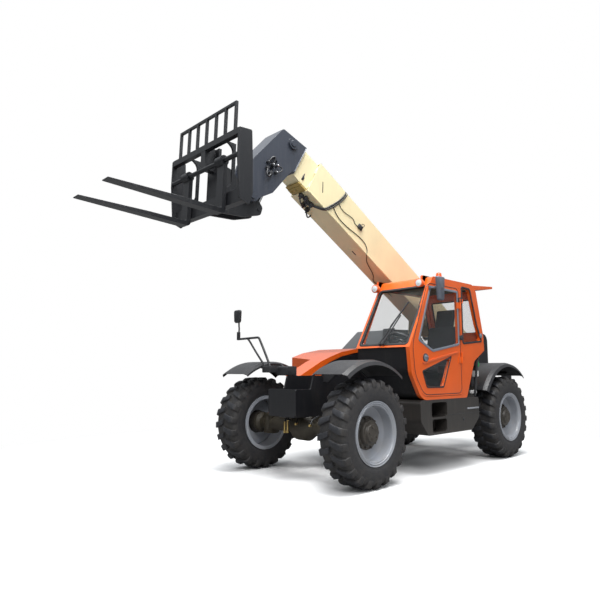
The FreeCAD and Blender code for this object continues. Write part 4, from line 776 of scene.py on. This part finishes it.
bay.append(cut_plate("bay edge", [(-1.615, 1.01), (-1.64, 1.01), (-1.745, 1.52), (-1.90, 1.70),
                                  (-1.885, 1.705), (-1.72, 1.53)], "side", 1.15, cab_side, 0.01, 0.004))
finished(joined("bay_parts", bay), dark_trim, "chassis", "black_plastic")


# --- Front plate, axle and grille fittings ----------------------------------------------------
# Brass unions and short pipes feed the axle.
unions = []
for across, low, high in ((-0.133, 0.585, 0.72), (-0.076, 0.59, 0.74)):
    unions.append(round_bar("pipe", (1.06, across, (low + high) / 2), 0.012, high - low, "top", 0.003))
    unions.append(round_bar("union", (1.06, across, low), 0.019, 0.03, "top", 0.003, None, 6))
for along, across, height in ((1.05, 0.076, 0.70), (1.05, 0.333, 0.696)):
    unions.append(round_bar("union nut", (along, across, height), 0.018, 0.03, "front", 0.003, None, 6))
finished(joined("axle_unions", unions), brass_metal, "chassis", "axle")
pipes = [bent_tube("axle hose", [(0.95, -0.133, 0.73), (1.04, -0.133, 0.76), (1.06, -0.133, 0.72),
                                 (1.06, -0.133, 0.66)], 0.009)]
pipes.append(bent_tube("axle hose", [(0.95, -0.076, 0.76), (1.04, -0.076, 0.79), (1.06, -0.076, 0.74),
                                     (1.06, -0.076, 0.66)], 0.009))
pipes.append(bent_tube("axle hose", [(0.86, 0.30, 0.80), (0.98, 0.32, 0.78), (1.04, 0.333, 0.72),
                                     (1.05, 0.333, 0.696)], 0.009))
pipes.append(bent_tube("axle hose", [(0.86, 0.05, 0.80), (0.98, 0.06, 0.79), (1.04, 0.076, 0.74),
                                     (1.05, 0.076, 0.70)], 0.009))
finished(joined("axle_hoses", pipes), hose_rubber, "chassis", "black_plastic")


# --- Mirrors ----------------------------------------------------------------------------------
# Round-cornered grey housings, crowned at the back, on bent steel tubes.
housing_grey = moulded("blue grey mirror housing", (0.075, 0.085, 0.105), 0.45)
mirror_glass = Finish("mirror glass", metallic=1.0)
mirror_glass.feed((0.75, 0.77, 0.79), 0.03)


def crowned(name, outline, plane, low, high, corner, place=None):
    """A shell with rounded corners whose back is drawn in."""
    put = planes[plane]
    made = drawn_line(name, [put(a, b, low) for a, b in outline], closed=True)
    bpy.ops.mesh.select_all(action="SELECT")
    bpy.ops.mesh.bevel(offset=corner, segments=6, affect="VERTICES")
    bpy.ops.mesh.select_all(action="SELECT")
    bpy.ops.mesh.extrude_region_move(TRANSFORM_OT_translate={"value": put(0, 0, (high - low) * 0.55)})
    bpy.ops.mesh.inset(thickness=corner * 0.2, depth=0)
    bpy.ops.transform.translate(value=put(0, 0, (high - low) * 0.3))
    bpy.ops.mesh.inset(thickness=corner * 0.35, depth=0)
    bpy.ops.transform.translate(value=put(0, 0, (high - low) * 0.15))
    bpy.ops.mesh.select_all(action="SELECT")
    bpy.ops.mesh.normals_make_consistent(inside=False)
    bpy.ops.object.mode_set(mode="OBJECT")
    made.data.transform(place or Matrix.Translation(datum))
    made = bevelled(made, 0.003, 2, 50)
    smooth(made, 60)
    return made


case = [crowned("case", [(-0.668, 2.36), (-0.548, 2.36), (-0.518, 2.70), (-0.698, 2.70)], "side", 1.236, 1.29,
                0.03)]
case.append(round_bar("case boss", (-0.608, 1.288, 2.53), 0.022, 0.012, "side", 0.004))
case.append(bent_tube("mirror arm", [(-0.608, 1.24, 2.60), (-0.58, 1.215, 2.56), (-0.50, 1.20, 2.53),
                                     (-0.447, 1.196, 2.53)], 0.011))
case.append(block("arm foot", (-0.466, 1.1805, 2.50), (-0.427, 1.196, 2.56), 0.004))
finished(joined("mirror_left_case", case), housing_grey, "door", "black_plastic", "mirror_left")
arms = [bent_tube("main tube", [(1.03, -1.204, 2.16), (1.03, -1.204, 2.05), (1.03, -1.19, 2.0),
                                (1.03, -1.215, 1.90)], 0.012)]
arms.append(bent_tube("upper tube", [(1.03, -1.215, 1.856), (1.03, -1.1, 1.857), (1.03, -0.80, 1.862),
                                     (1.03, -0.735, 1.862), (1.03, -0.715, 1.84),
                                     (1.03, -0.60, 1.66), (1.03, -0.478, 1.452)], 0.0165))
arms.append(bent_tube("lower tube", [(1.03, -0.985, 1.85), (1.03, -0.965, 1.846), (1.03, -0.80, 1.66),
                                     (1.03, -0.59, 1.452)], 0.0145))
arms.append(cut_plate("tube clamp", [(-1.235, 1.842), (-1.185, 1.842), (-1.185, 1.965), (-1.235, 1.965)],
                      "front", 1.012, 1.046, 0.008, 0.005))
arms.append(crowned("housing", [(-1.278, 2.10), (-1.142, 2.10), (-1.13, 2.295), (-1.29, 2.295)], "front",
                    1.035, 1.075, 0.035))
arms.append(cut_plate("tube foot", [(0.735, 1.32), (0.91, 1.32), (0.91, 1.45), (0.735, 1.45)], "side", -0.45,
                      -0.245, 0.028, 0.006))
arms.append(cut_plate("tube shelf", [(0.87, 1.36), (1.06, 1.36), (1.06, 1.456), (0.87, 1.456)], "side",
                      -0.615, -0.446, 0.012, 0.006))
finished(joined("mirror_right_case", arms), dark_trim, "chassis", "black_plastic", "mirror_right")
right_glass = cut_plate("mirror_right_glass", [(-1.268, 2.112), (-1.152, 2.112), (-1.142, 2.284),
                                               (-1.278, 2.284)], "front", 1.031, 1.0355, 0.028, 0.001)
finished(right_glass, mirror_glass.material, "chassis", "black_plastic")
left_glass = cut_plate("mirror_left_glass", [(-0.66, 2.372), (-0.556, 2.372), (-0.53, 2.688),
                                             (-0.686, 2.688)], "side", 1.2325, 1.2365, 0.022, 0.001)
finished(left_glass, mirror_glass.material, "door", "black_plastic")


# --- Lamps ------------------------------------------------------------------------------------
# Two work lamps on the roof's front corners and two rear lamps, with clear or red lenses, and an
# amber beacon on the roof.
clear_lens = Finish("clear lens", coat=0.5)
clear_lens.feed((0.78, 0.82, 0.84), 0.12)
amber = Finish("amber beacon", coat=0.5)
amber.feed((0.95, 0.10, 0.012), 0.2)
lamp_body, lamp_lens = [], []
for across in (0.29, 1.064):
    lamp_body.append(round_bar("work lamp", (-0.404, across, 2.605), 0.056, 0.075, "front", 0.016))
    lamp_body.append(round_bar("work lamp rim", (-0.376, across, 2.605), 0.062, 0.018, "front", 0.005))
    lamp_body.append(cut_plate("lamp bracket", [(-0.452, 2.60), (-0.440, 2.60), (-0.440, 2.712),
                                                (-0.66, 2.712), (-0.66, 2.722), (-0.452, 2.722)],
                     "side", across - 0.014, across + 0.014, 0, 0.002))
    lamp_lens.append(round_bar("lamp lens", (-0.366, across, 2.605), 0.047, 0.008, "front", 0.003))
    lamp_lens.append(round_bar("lamp bowl", (-0.362, across, 2.605), 0.014, 0.01, "front", 0.003))
finished(joined("work_lamps", lamp_body), orange, "chassis", "orange_paint", "lamps")
finished(joined("work_lamp_lenses", lamp_lens), clear_lens.material, "chassis", "glass")
beacon_foot = round_bar("beacon_foot", (-0.87, 1.08, 2.718), 0.055, 0.016, "top", 0.004)
finished(beacon_foot, dark_trim, "chassis", "black_plastic")
dome = turned("beacon_dome",
              [(x, 0, z) for x, z in ((0.0002, 0.088), (0.022, 0.085), (0.036, 0.074), (0.041, 0.05),
                                      (0.042, 0.006), (0.044, 0.0))],
              (0, 0, 0), (0, 0, 1), 40)
dome.data.transform(Matrix.Translation(datum + Vector((-0.87, 1.08, 2.725))))
smooth(dome, 60)
finished(dome, amber.material, "chassis", "glass")
rear_body, rear_lens = [], []
for side in (1, -1):
    inner, outer = sorted((0.56 * side, 0.74 * side))
    rear_body.append(block("rear lamp", (-3.795, inner, 1.24), (-3.745, outer, 1.345), 0.006))
    rear_lens.append(block("rear lens", (-3.81, inner + 0.015, 1.258), (-3.794, outer - 0.015, 1.332), 0.005))
finished(joined("rear_lamp_cases", rear_body), dark_trim, "chassis", "black_plastic")
finished(joined("rear_lamp_lenses", rear_lens), red_lens.material, "chassis", "glass")


# --- Floor, light and camera ------------------------------------------------------------------
# A pale studio floor that keeps the machine's shadow, with soft light from above and the front.
clear_selection()
bpy.ops.mesh.primitive_plane_add(size=80, location=(0, 0, 0))
floor = bpy.context.object
floor.name = "studio_floor"
floor_finish = Finish("pale floor")
seen = floor_finish.node("ShaderNodeLightPath", out="Is Camera Ray")
reach = (floor_finish.part(0) * floor_finish.part(0) + floor_finish.part(1) * floor_finish.part(1)).maths("POWER", 0.5)
near = floor_finish.node("ShaderNodeBsdfDiffuse", None, {"Color": (0.97, 0.97, 0.97)})
far = floor_finish.node("ShaderNodeEmission", None, {"Color": (1, 1, 1)})
lit = floor_finish.node("ShaderNodeMixShader", None, {0: reach.over(3.6, 6.4), 1: near, 2: far})
dim = floor_finish.node("ShaderNodeBsdfDiffuse", None, {"Color": (0.30, 0.30, 0.30)})
shown = floor_finish.node("ShaderNodeMixShader", None, {0: seen, 1: dim, 2: lit})
floor_finish.wires.links.new(shown.socket, floor_finish.wires.nodes["Material Output"].inputs["Surface"])
floor.data.materials.append(floor_finish.material)

world = bpy.data.worlds.new("studio")
bpy.context.scene.world = world
world.use_nodes = True
surround = world.node_tree
background = surround.nodes["Background"]
background.inputs["Color"].default_value = (0.94, 0.97, 1.0, 1)
sky = surround.nodes.new("ShaderNodeTexCoord")
split = surround.nodes.new("ShaderNodeSeparateXYZ")
surround.links.new(sky.outputs["Generated"], split.inputs[0])
surround.links.new((Value(surround, split.outputs[2]).over(0.02, 0.75) * 0.85 + 0.12).socket,
                   background.inputs["Strength"])
plain = surround.nodes.new("ShaderNodeBackground")
plain.inputs["Color"].default_value = (1, 1, 1, 1)
seen = surround.nodes.new("ShaderNodeLightPath")
choice = surround.nodes.new("ShaderNodeMixShader")
surround.links.new(seen.outputs["Is Camera Ray"], choice.inputs[0])
surround.links.new(background.outputs[0], choice.inputs[1])
surround.links.new(plain.outputs[0], choice.inputs[2])
surround.links.new(choice.outputs[0], surround.nodes["World Output"].inputs["Surface"])


def soft_lamp(name, place, aim, size, power):
    lamp = bpy.data.lights.new(name, "AREA")
    lamp.size, lamp.energy = size, power
    holder = bpy.data.objects.new(name, lamp)
    bpy.context.scene.collection.objects.link(holder)
    holder.location = place
    holder.rotation_euler = (Vector(aim) - Vector(place)).to_track_quat("-Z", "Y").to_euler()


soft_lamp("overhead light", (1.0, 2.0, 11.0), (-0.5, 0, 1), 6.0, 1500)
soft_lamp("front light", (7.0, 7.5, 9.0), (0, 0, 1.5), 4.0, 560)

camera_data = bpy.data.cameras.new("camera")
camera_data.lens, camera_data.sensor_width = 32.1, 36.0
camera = bpy.data.objects.new("camera", camera_data)
bpy.context.scene.collection.objects.link(camera)
camera.location = (5.932, 5.249, 1.384)
heading, rise = math.radians(226.25), math.radians(7.57)
ahead = Vector((math.cos(rise) * math.cos(heading), math.cos(rise) * math.sin(heading), math.sin(rise)))
camera.rotation_euler = ahead.to_track_quat("-Z", "Y").to_euler()
bpy.context.scene.camera = camera
bpy.context.scene.view_settings.view_transform = "Standard"
